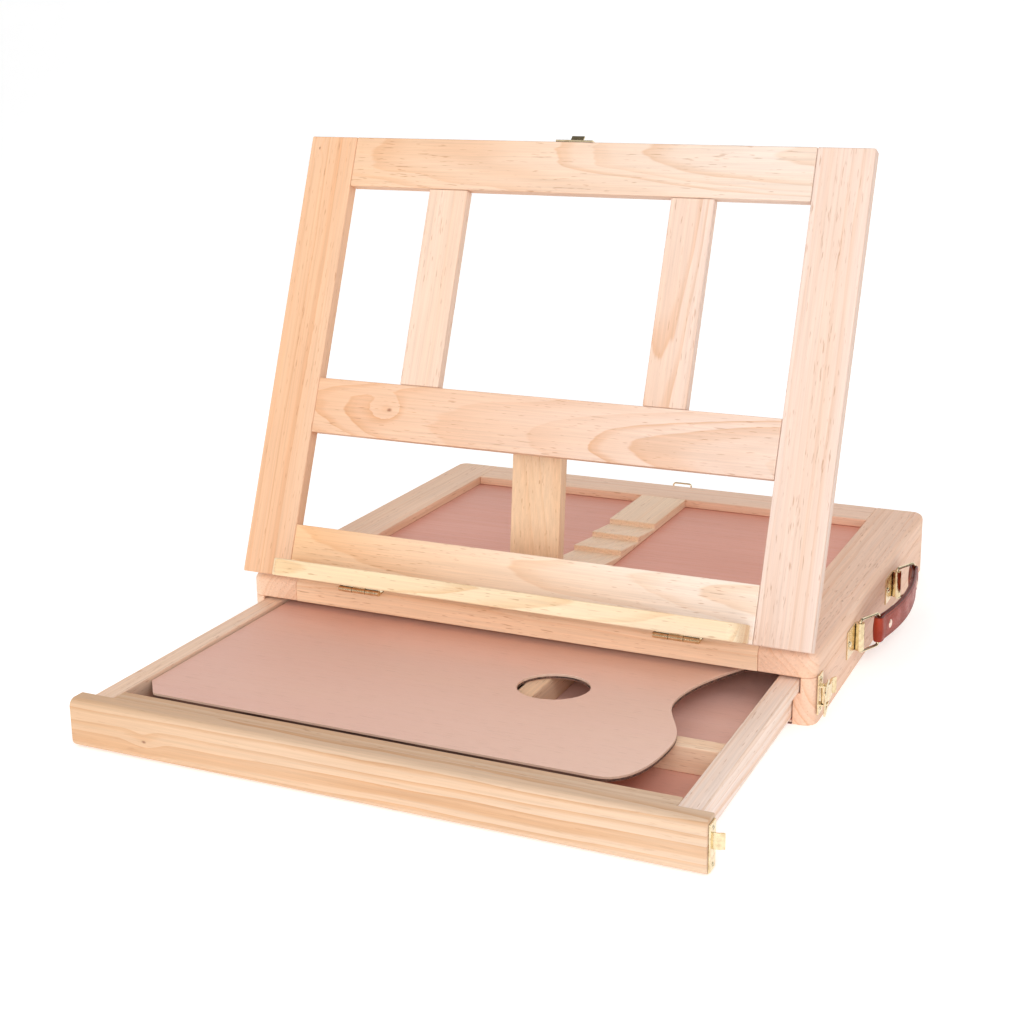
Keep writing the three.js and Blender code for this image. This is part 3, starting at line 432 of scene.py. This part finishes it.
def leather(name, middle, dark, edge, seed):
    """Grained leather, darker towards its cut edges, with fine creases."""
    material, graph = start_material(name)
    place = millimetres(graph)
    shifted = graph.vector("ADD", place, tuple(seed * step for step in LEATHER_SEED_STEPS))
    warp = graph.noise(shifted, LEATHER_WARP, 3.0)
    cells = graph.add("ShaderNodeTexVoronoi", {
        "Vector": graph.vector("ADD", shifted, graph.grey(warp)), "Scale": LEATHER_CELLS,
    }, feature="DISTANCE_TO_EDGE").outputs["Distance"]
    grain = graph.span(cells, 0.0, 0.22)
    creases = graph.span(graph.noise(shifted, LEATHER_CREASES, 4.0, 0.65), 0.42, 0.6)
    blotch = graph.span(graph.noise(shifted, LEATHER_BLOTCHES, 3.0), 0.3, 0.7)
    color = graph.mix(blotch, middle, dark)
    between_cells = graph.math("SUBTRACT", 1.0, grain)
    color = graph.mix(graph.math("MULTIPLY", between_cells, 0.35), color, dark)
    low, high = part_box("handle_strap")
    middle_z = (low.z + high.z) / (2 * MM)
    half_width = (high.z - low.z) / (2 * MM)
    height = graph.add("ShaderNodeSeparateXYZ", {0: place}).outputs[2]
    from_middle = graph.math("ABSOLUTE", graph.math("SUBTRACT", height, middle_z))
    edge_starts, edge_full = (half_width - inset for inset in LEATHER_EDGE)
    color = graph.mix(graph.span(from_middle, edge_starts, edge_full), color, edge)
    rough = graph.span(blotch, 0.0, 1.0, 0.3, 0.46)
    relief = graph.math("ADD", grain, graph.math("MULTIPLY", creases, 0.8))
    end_material(graph, color, rough, relief, LEATHER_RELIEF, **LEATHER_POLISH)
    return material


BRASS = metal("brass_plate", rgb(0.88, 0.74, 0.49), rgb(0.74, 0.58, 0.34), 0.12, 0.26, 1.0)
WIRE = metal("brass_wire", rgb(0.86, 0.74, 0.52), rgb(0.70, 0.57, 0.36), 0.1, 0.24, 2.0)
COPPER = metal("pale_rivet", rgb(0.93, 0.74, 0.62), rgb(0.84, 0.62, 0.50), 0.16, 0.3, 3.0)
LEATHER = leather(
    "red_brown_leather", rgb(0.42, 0.050, 0.020), rgb(0.30, 0.032, 0.014), rgb(0.13, 0.016, 0.009),
    seed=1.0,
)

# ---------------------------------------------------------------- finishing the carried-over parts

WELD_DISTANCE = 0.002 * MM
FLAT_ANGLE = math.radians(0.6)
EDGE_ANGLE = math.radians(35)
EDGE_SEGMENTS = 3


def tidy_edges(piece, width):
    """Joins the faceted solid's faces, rounds its hard edges and evens its shading."""
    piece.data.polygons.foreach_set("use_smooth", [True] * len(piece.data.polygons))
    weld = piece.modifiers.new("weld", "WELD")
    weld.merge_threshold = WELD_DISTANCE
    flatten = piece.modifiers.new("flatten", "DECIMATE")
    flatten.decimate_type = "DISSOLVE"
    flatten.angle_limit = FLAT_ANGLE
    bevel = piece.modifiers.new("bevel", "BEVEL")
    bevel.width = width * MM
    bevel.segments = EDGE_SEGMENTS
    bevel.limit_method = "ANGLE"
    bevel.angle_limit = EDGE_ANGLE
    bevel.use_clamp_overlap = True
    normals = piece.modifiers.new("normals", "WEIGHTED_NORMAL")
    normals.keep_sharp = False


def dress(node, material, bevel):
    piece = NODES[node]
    piece.data.materials.clear()
    piece.data.materials.append(material)
    tidy_edges(piece, bevel)


# Each board: the wood it comes from, its grain's direction, seed, the pith's distance from the board's
# middle across the grain in millimetres, ring spacing, and what differs from the usual.
BOARDS = {
    "frame_stile_left": (
        "frame", UP_FRAME, 1.3, (70.0, -30.0), 4.5, {"knot": ((149.0, 11.0, 4.0), 0.8, KNOT_THROUGH_DEPTH)},
    ),
    "frame_stile_right": ("frame", UP_FRAME, 2.1, (-60.0, -40.0), 5.0, {"contrast": 0.45}),
    "frame_rail_top": (
        "rail", ACROSS_FRAME, 3.7, (10.0, -34.0), 4.5,
        {"lean": (0.03, 0.06), "wobble": 8.0, "contrast": 0.7},
    ),
    "frame_rail_middle": (
        "frame", ACROSS_FRAME, 4.2, (-6.0, -42.0), 5.0,
        {
            "lean": (-0.03, 0.09), "wobble": 8.0, "contrast": 0.85,
            "knot": ((-108.0, 1.0, 4.0), 1.5, KNOT_THROUGH_DEPTH),
        },
    ),
    "frame_rail_bottom": (
        "low rail", ACROSS_FRAME, 5.9, (12.0, -36.0), 5.0,
        {"lean": (-0.03, 0.04), "wobble": 9.0, "contrast": 0.75},
    ),
    "frame_bar_left": ("pale", UP_FRAME, 6.4, (-50.0, -40.0), 6.0, {"contrast": 0.25}),
    "frame_bar_right": (
        "frame", UP_FRAME, 7.1, (8.0, -30.0), 4.5, {"lean": (0.05, 0.05), "contrast": 0.85},
    ),
    "prop_strut": ("strut", ALONG_Z, 8.8, (-60.0, 40.0), 6.0, {"contrast": 0.35}),
    "canvas_ledge": (
        "ledge", ACROSS_FRAME, 9.6, (6.0, 34.0), 5.0,
        {"lean": (0.03, 0.05), "wobble": 9.0, "contrast": 0.7},
    ),
    "top_stile_left": ("top", ALONG_Y, 10.2, (-60.0, -40.0), 4.5, {}),
    "top_stile_right": (
        "top", ALONG_Y, 11.9, (50.0, -50.0), 4.0,
        {"contrast": 0.8, "knot": ((-62.0, -8.7, 7.7), 0.9, KNOT_THROUGH_DEPTH)},
    ),
    "top_rail_front": ("nose", ALONG_X, 12.5, (30.0, -40.0), 4.5, {"lean": (0.03, 0.02), "contrast": 0.8}),
    "top_rail_back": ("top", ALONG_X, 13.3, (50.0, -40.0), 4.5, {}),
    "ratchet_bar": ("nose", ALONG_Y, 14.1, (10.0, -50.0), 5.0, {"contrast": 0.6}),
    "box_side_left": ("top", ALONG_Y, 15.4, (40.0, 60.0), 4.5, {}),
    "box_side_right": ("top", ALONG_Y, 16.8, (-60.0, 30.0), 4.5, {"contrast": 0.8}),
    "box_back": ("top", ALONG_X, 17.6, (40.0, 60.0), 4.5, {}),
    "drawer_front": (
        "drawer", ALONG_X, 18.5, (30.0, -90.0), 8.2,
        {
            "lean": (0.0, 0.014), "wobble": 11.0, "contrast": 1.1, "flecks": 0.2,
            "knot": ((-148.0, -6.0, -3.0), 1.1, KNOT_ACROSS),
        },
    ),
    "drawer_inner_front": ("drawer", ALONG_X, 19.2, (60.0, 30.0), 4.5, {}),
    "drawer_side_left": ("tray", ALONG_Y, 20.7, (60.0, 20.0), 4.0, {}),
    "drawer_side_right": ("tray", ALONG_Y, 21.4, (-50.0, 30.0), 4.0, {"contrast": 0.8}),
    "drawer_back": ("tray", ALONG_X, 22.8, (0.0, 90.0), 6.0, {}),
    "drawer_divider_cross": ("nose", ALONG_X, 23.6, (40.0, 40.0), 5.0, {}),
    "drawer_divider_long": ("nose", ALONG_Y, 24.9, (20.0, 60.0), 5.0, {}),
}
PANEL_FACE = (rgb(0.75, 0.37, 0.29), rgb(0.70, 0.33, 0.25), rgb(0.50, 0.22, 0.16))
FLOOR_FACE = (rgb(0.68, 0.29, 0.205), rgb(0.72, 0.33, 0.25), rgb(0.46, 0.19, 0.14))
PALETTE_FACE = (rgb(0.77, 0.455, 0.37), rgb(0.77, 0.465, 0.37), rgb(0.55, 0.30, 0.22))
PANEL_SHIFT = (ACROSS_SHEET, rgb(1.06, 0.98, 0.93))
# Painted light: the drawer floor pales towards the back, where the box shades it, and the palette pales to
# the right, where the light falls more strongly.
FLOOR_PAINTED_LIGHT = (INTO_DRAWER, rgb(1.3, 1.95, 2.3))
PALETTE_PAINTED_LIGHT = (ACROSS_SHEET, rgb(1.09, 1.24, 1.26))
SHEETS = {
    "top_panel_left": (PANEL_FACE, PANEL_SHIFT, 1.0), "top_panel_right": (PANEL_FACE, PANEL_SHIFT, 2.0),
    "box_bottom": (PANEL_FACE, PANEL_SHIFT, 3.0), "drawer_floor": (FLOOR_FACE, FLOOR_PAINTED_LIGHT, 4.0),
    "palette": (PALETTE_FACE, PALETTE_PAINTED_LIGHT, 5.0),
}
# Edge rounding, in millimetres.
BOARD_BEVEL = 0.9
SHEET_BEVEL = 0.35
METAL_BEVEL = 0.16
METALS = {
    BRASS: (
        "frame_hinge_lower_left", "frame_hinge_lower_right", "frame_hinge_upper_left",
        "frame_hinge_upper_right", "frame_hinge_pin_left", "frame_hinge_pin_right",
        "strut_hinge_fixed_leaf", "strut_hinge_moving_leaf", "strut_hinge_pin",
        "drawer_latch_plate", "drawer_latch_lever", "lid_latch_plate", "lid_latch_lever",
        "drawer_catch", "lid_catch", "handle_clip_front", "handle_clip_rear",
    ),
    WIRE: (
        "handle_ring_front", "handle_ring_rear", "drawer_latch_loop", "lid_latch_loop",
        "drawer_latch_pin", "lid_latch_pin", "handle_clip_screw_front", "handle_clip_screw_rear",
    ),
    COPPER: ("handle_rivet_front", "handle_rivet_rear"),
}


def dress_everything():
    for node, (look, turn, seed, pith, spacing, extra) in BOARDS.items():
        dress(node, pine(node, look, turn, seed, pith, spacing, **extra), BOARD_BEVEL)
    for node, (colors, shift, seed) in SHEETS.items():
        dress(node, plywood(node, *colors, shift, seed), SHEET_BEVEL)
    for material, names in METALS.items():
        for node in names:
            dress(node, material, METAL_BEVEL)


dress_everything()

# ---------------------------------------------------------------- building pieces


def new_piece(name, bm, material, body):
    """A mesh piece that rides on a body, with the given material."""
    mesh = bpy.data.meshes.new(name)
    bmesh.ops.recalc_face_normals(bm, faces=bm.faces)
    bm.to_mesh(mesh)
    bm.free()
    mesh.polygons.foreach_set("use_smooth", [True] * len(mesh.polygons))
    mesh.materials.append(material)
    piece = bpy.data.objects.new(name, mesh)
    bpy.context.scene.collection.objects.link(piece)
    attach(piece, body)
    return piece


def bridge(bm, rows):
    """Joins equal rings of vertices into a tube, capped at both ends."""
    count = len(rows[0])
    for near, far in zip(rows, rows[1:]):
        for i in range(count):
            j = (i + 1) % count
            bm.faces.new((near[i], near[j], far[j], far[i]))
    bm.faces.new(list(reversed(rows[0])))
    bm.faces.new(rows[-1])


# ---------------------------------------------------------------- leather strap

STRAP_LOW, STRAP_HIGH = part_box("handle_strap")
STRAP_THICKNESS = 3.4 * MM
STRAP_CROWN = 0.7 * MM
# One layer of the folded leather, the gap between layers, and the radius at which it wraps a ring's bar.
STRAP_SKIN = 1.6 * MM
LAYER_GAP = 0.06 * MM
EYE_RADIUS = 1.35 * MM + STRAP_SKIN / 2
EYE_SWELL = 5 * MM
EYE_STEPS = 12
FOLD_LENGTH = 26 * MM
WRAP_STEPS = 96
# The leather is a little narrower than the strap's box, and the liner fills the gap between the folds.
STRAP_TRIM = 0.3 * MM
LINER_STEPS = 48
LINER_TRIM = 0.6 * MM
BAR = Vector(JOINTS["handle_strap_turn"]["pos_m"])
PITCH = JOINTS["handle_rear_ring"]["pos_m"][1] - JOINTS["handle_swing"]["pos_m"][1]
BOW = STRAP_HIGH.x - BAR.x - STRAP_THICKNESS / 2
TINY = 1e-4


def strap_point(along, offset):
    """A point at a distance along the strap's middle line, pushed out of it by offset."""
    share = along / PITCH
    slope = 4 * BOW * (1 - 2 * share) / PITCH
    out = Vector((1.0, -slope, 0.0)).normalized()
    middle = Vector((BAR.x + 4 * BOW * share * (1 - share), BAR.y + along, BAR.z))
    return middle + out * offset


def outward(along):
    """The direction out of the strap's middle line."""
    return (strap_point(along, 1 * MM) - strap_point(along, 0.0)).normalized()


def layer_offset(along):
    """How far one layer of leather lies from the middle line: wide at the bars, close between them."""
    close = STRAP_SKIN / 2 + LAYER_GAP
    swell = math.exp(-((along / EYE_SWELL) ** 2)) + math.exp(-(((PITCH - along) / EYE_SWELL) ** 2))
    return close + (EYE_RADIUS - close) * min(swell, 1.0)


def eye_points(along, ahead, start_angle):
    """Half a turn round the bar at one end. Ahead is the strap's direction there."""
    middle = strap_point(along, 0.0)
    out = outward(along)
    angles = [start_angle + math.pi * i / EYE_STEPS for i in range(1, EYE_STEPS)]
    return [middle + (out * math.cos(angle) + ahead * math.sin(angle)) * EYE_RADIUS for angle in angles]


def wrap_points():
    """The centre line of the leather: folded back inside, round each bar, and along the outside."""
    fold_steps = WRAP_STEPS // 4
    folds = [FOLD_LENGTH * i / fold_steps for i in range(fold_steps + 1)]
    front_ahead = (strap_point(TINY, 0.0) - strap_point(0.0, 0.0)).normalized()
    rear_ahead = (strap_point(PITCH, 0.0) - strap_point(PITCH - TINY, 0.0)).normalized()
    path = [strap_point(along, -layer_offset(along)) for along in reversed(folds)]
    path += eye_points(0.0, front_ahead, math.pi)
    outside = [PITCH * i / WRAP_STEPS for i in range(WRAP_STEPS + 1)]
    path += [strap_point(along, layer_offset(along)) for along in outside]
    path += eye_points(PITCH, rear_ahead, 0.0)
    path += [strap_point(PITCH - fold, -layer_offset(PITCH - fold)) for fold in folds]
    return path


SECTION_ROUND = 0.42
CORNER_STEPS = 4
SIDE_CUTS = 8


def strip_section(width, thickness, crown):
    """A soft-cornered section as (out, up) pairs, whose outer side bulges by the crown."""
    radius = thickness * SECTION_ROUND
    corners = []
    for quarter, (side_out, side_up) in enumerate([(1, 1), (-1, 1), (-1, -1), (1, -1)]):
        for i in range(CORNER_STEPS + 1):
            angle = math.pi / 2 * (quarter + i / CORNER_STEPS)
            out = side_out * (thickness / 2 - radius) + radius * math.cos(angle)
            up = side_up * (width / 2 - radius) + radius * math.sin(angle)
            corners.append(Vector((out, up)))
    points = []
    for here, following in zip(corners, corners[1:] + corners[:1]):
        cuts = SIDE_CUTS if abs(following.y - here.y) > width / 2 else 1
        points += [here.lerp(following, k / cuts) for k in range(cuts)]
    bulge = [crown * (1 - (2 * up / width) ** 2) if out > 0 else 0.0 for out, up in points]
    return [(out + extra, up) for (out, up), extra in zip(points, bulge)]


# A wrap's loose ends are pressed a little thinner.
END_SQUEEZE = 0.82


def strip(name, path, width, thickness, crown, body):
    """Sweeps a leather section along a level path."""
    bm = bmesh.new()
    section = strip_section(width, thickness, crown)
    rows = []
    for i, point in enumerate(path):
        ahead = path[min(i + 1, len(path) - 1)]
        behind = path[max(i - 1, 0)]
        tangent = (ahead - behind).normalized()
        out = Vector((tangent.y, -tangent.x, 0.0))
        squeeze = END_SQUEEZE if i in (0, len(path) - 1) else 1.0
        rows.append([
            bm.verts.new(point + out * (o * squeeze) + Vector((0.0, 0.0, u))) for o, u in section
        ])
    bridge(bm, rows)
    return new_piece(name, bm, LEATHER, body)


# Each stitch is a short thread, flattened against the leather and pinched at both ends.
STITCH_PACE = 3.4 * MM
STITCH_HALF = 1.25 * MM
STITCH_RADIUS = 0.36 * MM
STITCH_FLATTEN = 0.8
STITCH_SINK = 0.02 * MM
STITCH_PINCH = 0.06
STITCH_STEPS = 6
STITCH_SIDES = 8
STITCHES_FROM_END = 6 * MM
STITCHES_FROM_EDGE = 2.1 * MM
# The share of the crown that is left where the stitches lie.
CROWN_AT_STITCHES = 0.36


def stitch(bm, along, rise):
    """One stitch at a distance along the strap, raised above its middle height."""
    surface = layer_offset(along) + STRAP_SKIN / 2 + STRAP_CROWN * CROWN_AT_STITCHES - STITCH_SINK
    up = Vector((0.0, 0.0, 1.0))
    out = outward(along)
    rings = []
    for k in range(STITCH_STEPS + 1):
        share = k / STITCH_STEPS
        thick = math.sin(math.pi * min(max(share, STITCH_PINCH), 1 - STITCH_PINCH)) ** 0.6
        centre = strap_point(along + STITCH_HALF * (2 * share - 1), surface) + up * rise
        ring = []
        for j in range(STITCH_SIDES):
            angle = 2 * math.pi * j / STITCH_SIDES
            spread = out * math.cos(angle) * STITCH_FLATTEN + up * math.sin(angle)
            ring.append(bm.verts.new(centre + spread * STITCH_RADIUS * thick))
        rings.append(ring)
    bridge(bm, rings)


def stitches(name, material, body):
    """Two rows of thread lying in the outer face, near the strap's edges."""
    bm = bmesh.new()
    rise = (STRAP_HIGH.z - STRAP_LOW.z) / 2 - STITCHES_FROM_EDGE
    count = int((PITCH - 2 * STITCHES_FROM_END) / STITCH_PACE)
    for row in (-1, 1):
        for i in range(count + 1):
            stitch(bm, STITCHES_FROM_END + i * STITCH_PACE, rise * row)
    return new_piece(name, bm, material, body)


def thread_material():
    material, graph = start_material("waxed_thread")
    twist = graph.noise(millimetres(graph), (6.0, 3.0, 6.0), 2.0)
    dark, light = rgb(0.075, 0.014, 0.009), rgb(0.15, 0.034, 0.02)
    color = graph.mix(graph.span(twist, 0.35, 0.65), dark, light)
    end_material(graph, color, graph.span(twist, 0.0, 1.0, 0.45, 0.65), twist, 0.08 * MM)
    return material


def build_strap():
    width = STRAP_HIGH.z - STRAP_LOW.z - STRAP_TRIM
    wrap = strip("strap_leather", wrap_points(), width, STRAP_SKIN, STRAP_CROWN, "strap")
    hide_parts("handle_strap")
    start = FOLD_LENGTH + LINER_TRIM
    places = [start + (PITCH - 2 * start) * i / LINER_STEPS for i in range(LINER_STEPS + 1)]
    liner = [strap_point(along, -STRAP_SKIN / 2 - LAYER_GAP) for along in places]
    strip("strap_liner", liner, width - LINER_TRIM, STRAP_SKIN, 0.0, "strap")
    stitches("strap_stitches", thread_material(), "strap")


build_strap()

# ---------------------------------------------------------------- screws

SCREW_RADIUS = 1.7 * MM
SCREW_FROM_END = 3.1 * MM
LATCH_SHEET = 1.0 * MM
CATCH_SHEET = 1.2 * MM
# A latch's lever turns this far off the middle of its plate.
PIVOT_FROM_MIDDLE = 2.4 * MM
UP_THE_FRAME = Vector((0.0, math.cos(FRAME_TILT), math.sin(FRAME_TILT)))
FRAME_OUT = Vector((0.0, -math.sin(FRAME_TILT), math.cos(FRAME_TILT)))
# The lid catch sits on the frame's top edge, in the middle of its thickness.
FRAME_TOP = 318.0 * MM
FRAME_MIDDLE = 4.75 * MM
HEAD_SIDES = 32
HEAD_STEPS = 9
HEAD_HEIGHT_SHARE = 0.28
# A cross recess: half its width and its reach in head radii, and its depth in head heights.
RECESS_HALF_WIDTH = 0.2
RECESS_REACH = 0.7
RECESS_DEPTH = 0.75


def screw_head(bm, place, normal, radius):
    """Adds a low domed head with a cross recess, sitting on a surface."""
    place = Vector(place)
    outward_from = Vector(normal).normalized()
    turn = outward_from.to_track_quat("Z", "Y").to_matrix()
    height = radius * HEAD_HEIGHT_SHARE
    rings = []
    for i in range(1, HEAD_STEPS + 1):
        share = i / HEAD_STEPS
        ring = []
        for j in range(HEAD_SIDES):
            angle = 2 * math.pi * (j + 0.5) / HEAD_SIDES
            x = math.cos(angle) * radius * share
            y = math.sin(angle) * radius * share
            level = height * (1 - share ** 4)
            if min(abs(x), abs(y)) < RECESS_HALF_WIDTH * radius and share < RECESS_REACH:
                level -= height * RECESS_DEPTH
            ring.append(bm.verts.new(place + turn @ Vector((x, y, level))))
        rings.append(ring)
    centre = bm.verts.new(place + outward_from * height * (1 - RECESS_DEPTH))
    foot = [bm.verts.new(v.co - outward_from * height * 0.5) for v in rings[-1]]
    shells = rings + [foot]
    for i in range(HEAD_SIDES):
        j = (i + 1) % HEAD_SIDES
        bm.faces.new((centre, rings[0][i], rings[0][j]))
        for near, far in zip(shells, shells[1:]):
            bm.faces.new((near[i], far[i], far[j], near[j]))
    bm.faces.new(list(reversed(foot)))


def screws(name, places, normal, body):
    bm = bmesh.new()
    for place in places:
        screw_head(bm, place, normal, SCREW_RADIUS)
    new_piece(name, bm, WIRE, body)


def plate_ends(node, axis):
    """Where a plate's two screws go along an axis of its box."""
    low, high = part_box(node)
    return low[axis] + SCREW_FROM_END, high[axis] - SCREW_FROM_END


def drawer_screws():
    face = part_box("drawer_latch_plate")[0].x + LATCH_SHEET
    middle = JOINTS["drawer_latch_open"]["pos_m"][1] + PIVOT_FROM_MIDDLE
    places = [(face, middle, z) for z in plate_ends("drawer_latch_plate", 2)]
    screws("drawer_latch_screws", places, (1, 0, 0), "box")
    low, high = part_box("drawer_catch")
    face = low.x + CATCH_SHEET
    places = [(face, (low.y + high.y) / 2, z) for z in plate_ends("drawer_catch", 2)]
    screws("drawer_catch_screws", places, (1, 0, 0), "drawer")


def lid_screws():
    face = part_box("lid_latch_plate")[0].y + LATCH_SHEET
    middle = JOINTS["lid_latch_open"]["pos_m"][2] - PIVOT_FROM_MIDDLE
    places = [(x, face, middle) for x in plate_ends("lid_latch_plate", 0)]
    screws("lid_latch_screws", places, (0, 1, 0), "box")
    hinge = Vector(JOINTS["frame_tilt"]["pos_m"])
    middle = hinge + UP_THE_FRAME * (FRAME_TOP + CATCH_SHEET) + FRAME_OUT * FRAME_MIDDLE
    places = [(x, middle.y, middle.z) for x in plate_ends("lid_catch", 0)]
    screws("lid_catch_screws", places, UP_THE_FRAME, "canvas_frame")


drawer_screws()
lid_screws()

# ---------------------------------------------------------------- stage, light and camera

# The floor in metres: its near edge, where it starts to curve up, the curve's radius, and the wall's top.
FLOOR_NEAR = -4.0
FLOOR_BEND = 2.5
BEND_RADIUS = 1.5
BEND_STEPS = 12
WALL_TOP = 5.0
FLOOR_HALF_WIDTH = 6.0
# A faint glow keeps the far wall as pale as the floor under the lights.
FLOOR_GLOW = 0.34


def floor_profile():
    """The floor's section as (y, z) points: flat, a quarter turn, and a wall."""
    profile = [(FLOOR_NEAR, 0.0), (FLOOR_BEND, 0.0)]
    for i in range(1, BEND_STEPS + 1):
        angle = math.pi / 2 * i / BEND_STEPS
        back = FLOOR_BEND + BEND_RADIUS * math.sin(angle)
        profile.append((back, BEND_RADIUS * (1 - math.cos(angle))))
    return profile + [(FLOOR_BEND + BEND_RADIUS, WALL_TOP)]


def floor_material():
    material, graph = start_material("pale_floor")
    mottle = graph.noise(millimetres(graph), (0.01, 0.01, 0.01), 2.0)
    color = graph.mix(mottle, rgb(0.90, 0.90, 0.90), rgb(0.93, 0.93, 0.93))
    glow = {"Emission Color": rgb(1.0, 1.0, 1.0), "Emission Strength": FLOOR_GLOW}
    end_material(graph, color, 0.8, **glow)
    return material


def stage_floor():
    """A pale floor that sweeps up into a wall far behind."""
    bm = bmesh.new()
    edges = (-FLOOR_HALF_WIDTH, FLOOR_HALF_WIDTH)
    rows = [[bm.verts.new((x, y, z)) for x in edges] for y, z in floor_profile()]
    for near, far in zip(rows, rows[1:]):
        bm.faces.new((near[0], near[1], far[1], far[0]))
    mesh = bpy.data.meshes.new("floor")
    bm.to_mesh(mesh)
    bm.free()
    mesh.polygons.foreach_set("use_smooth", [True] * len(mesh.polygons))
    mesh.materials.append(floor_material())
    floor = bpy.data.objects.new("floor", mesh)
    bpy.context.scene.collection.objects.link(floor)


# Each soft light: its place, what it points at, its size in metres and its power in watts.
SOFTBOXES = {
    "front": ((0.6, -2.6, 0.75), (0.0, -0.1, 0.1), 1.8, 32),
    "key": ((1.4, -1.2, 2.0), (0.0, 0.0, 0.1), 1.0, 10),
    "fill": ((-1.9, -1.6, 0.9), (0.0, -0.1, 0.1), 1.4, 10),
}
WORLD_STRENGTH = 0.58
# Reflections see a dark band low in the studio and a dim ceiling, so that polished metal shows its shape.
REFLECTED_STUDIO = [(0.0, 0.05), (0.16, 0.08), (0.3, 1.0), (0.62, 1.15), (0.75, 0.25)]
# Beyond the floor's edge the camera sees plain white.
BEYOND_FLOOR = rgb(2.0, 2.0, 2.0)


def softbox(name, place, target, size, power):
    light = bpy.data.lights.new(name, "AREA")
    light.shape = "RECTANGLE"
    light.size = size
    light.size_y = size
    light.energy = power
    lamp = bpy.data.objects.new(name, light)
    lamp.location = place
    lamp.rotation_euler = (Vector(target) - lamp.location).to_track_quat("-Z", "Y").to_euler()
    bpy.context.scene.collection.objects.link(lamp)


def stage_world():
    world = bpy.data.worlds.new("studio")
    world.use_nodes = True
    graph = Graph(world.node_tree)
    toward = graph.add("ShaderNodeTexCoord").outputs["Generated"]
    rise = graph.add("ShaderNodeSeparateXYZ", {0: toward}).outputs[2]
    rays = graph.add("ShaderNodeLightPath").outputs
    studio = graph.ramp(rise, REFLECTED_STUDIO)
    color = graph.mix(rays["Is Glossy Ray"], rgb(1.0, 1.0, 1.0), studio)
    color = graph.mix(rays["Is Camera Ray"], color, BEYOND_FLOOR)
    background = world.node_tree.nodes["Background"]
    graph.feed(background.inputs["Color"], color)
    graph.feed(background.inputs["Strength"], WORLD_STRENGTH)
    bpy.context.scene.world = world


def stage_light():
    stage_world()
    for name, settings in SOFTBOXES.items():
        softbox(name, *settings)
    bpy.context.scene.view_settings.view_transform = "Standard"


# The camera stands right of the easel's front and looks down a little, with a slightly shifted frame.
CAMERA_PLACE = (0.43175, -1.08435, 0.42089)
CAMERA_FORWARD = (-0.39626, 0.88117, -0.2579)
CAMERA_UP = (-0.09709, 0.23911, 0.96613)
CAMERA_LENS = 57.28
CAMERA_SENSOR = 36.0
CAMERA_SHIFT = (-0.0248, -0.0499)


def stage_camera():
    camera = bpy.data.cameras.new("camera")
    camera.sensor_width = CAMERA_SENSOR
    camera.lens = CAMERA_LENS
    camera.shift_x, camera.shift_y = CAMERA_SHIFT
    camera.clip_start = 0.01
    viewer = bpy.data.objects.new("camera", camera)
    forward = Vector(CAMERA_FORWARD)
    up = Vector(CAMERA_UP)
    turn = Matrix((forward.cross(up), up, -forward)).transposed()
    viewer.matrix_world = Matrix.Translation(CAMERA_PLACE) @ turn.to_4x4()
    bpy.context.scene.collection.objects.link(viewer)
    bpy.context.scene.camera = viewer


stage_floor()
stage_light()
stage_camera()
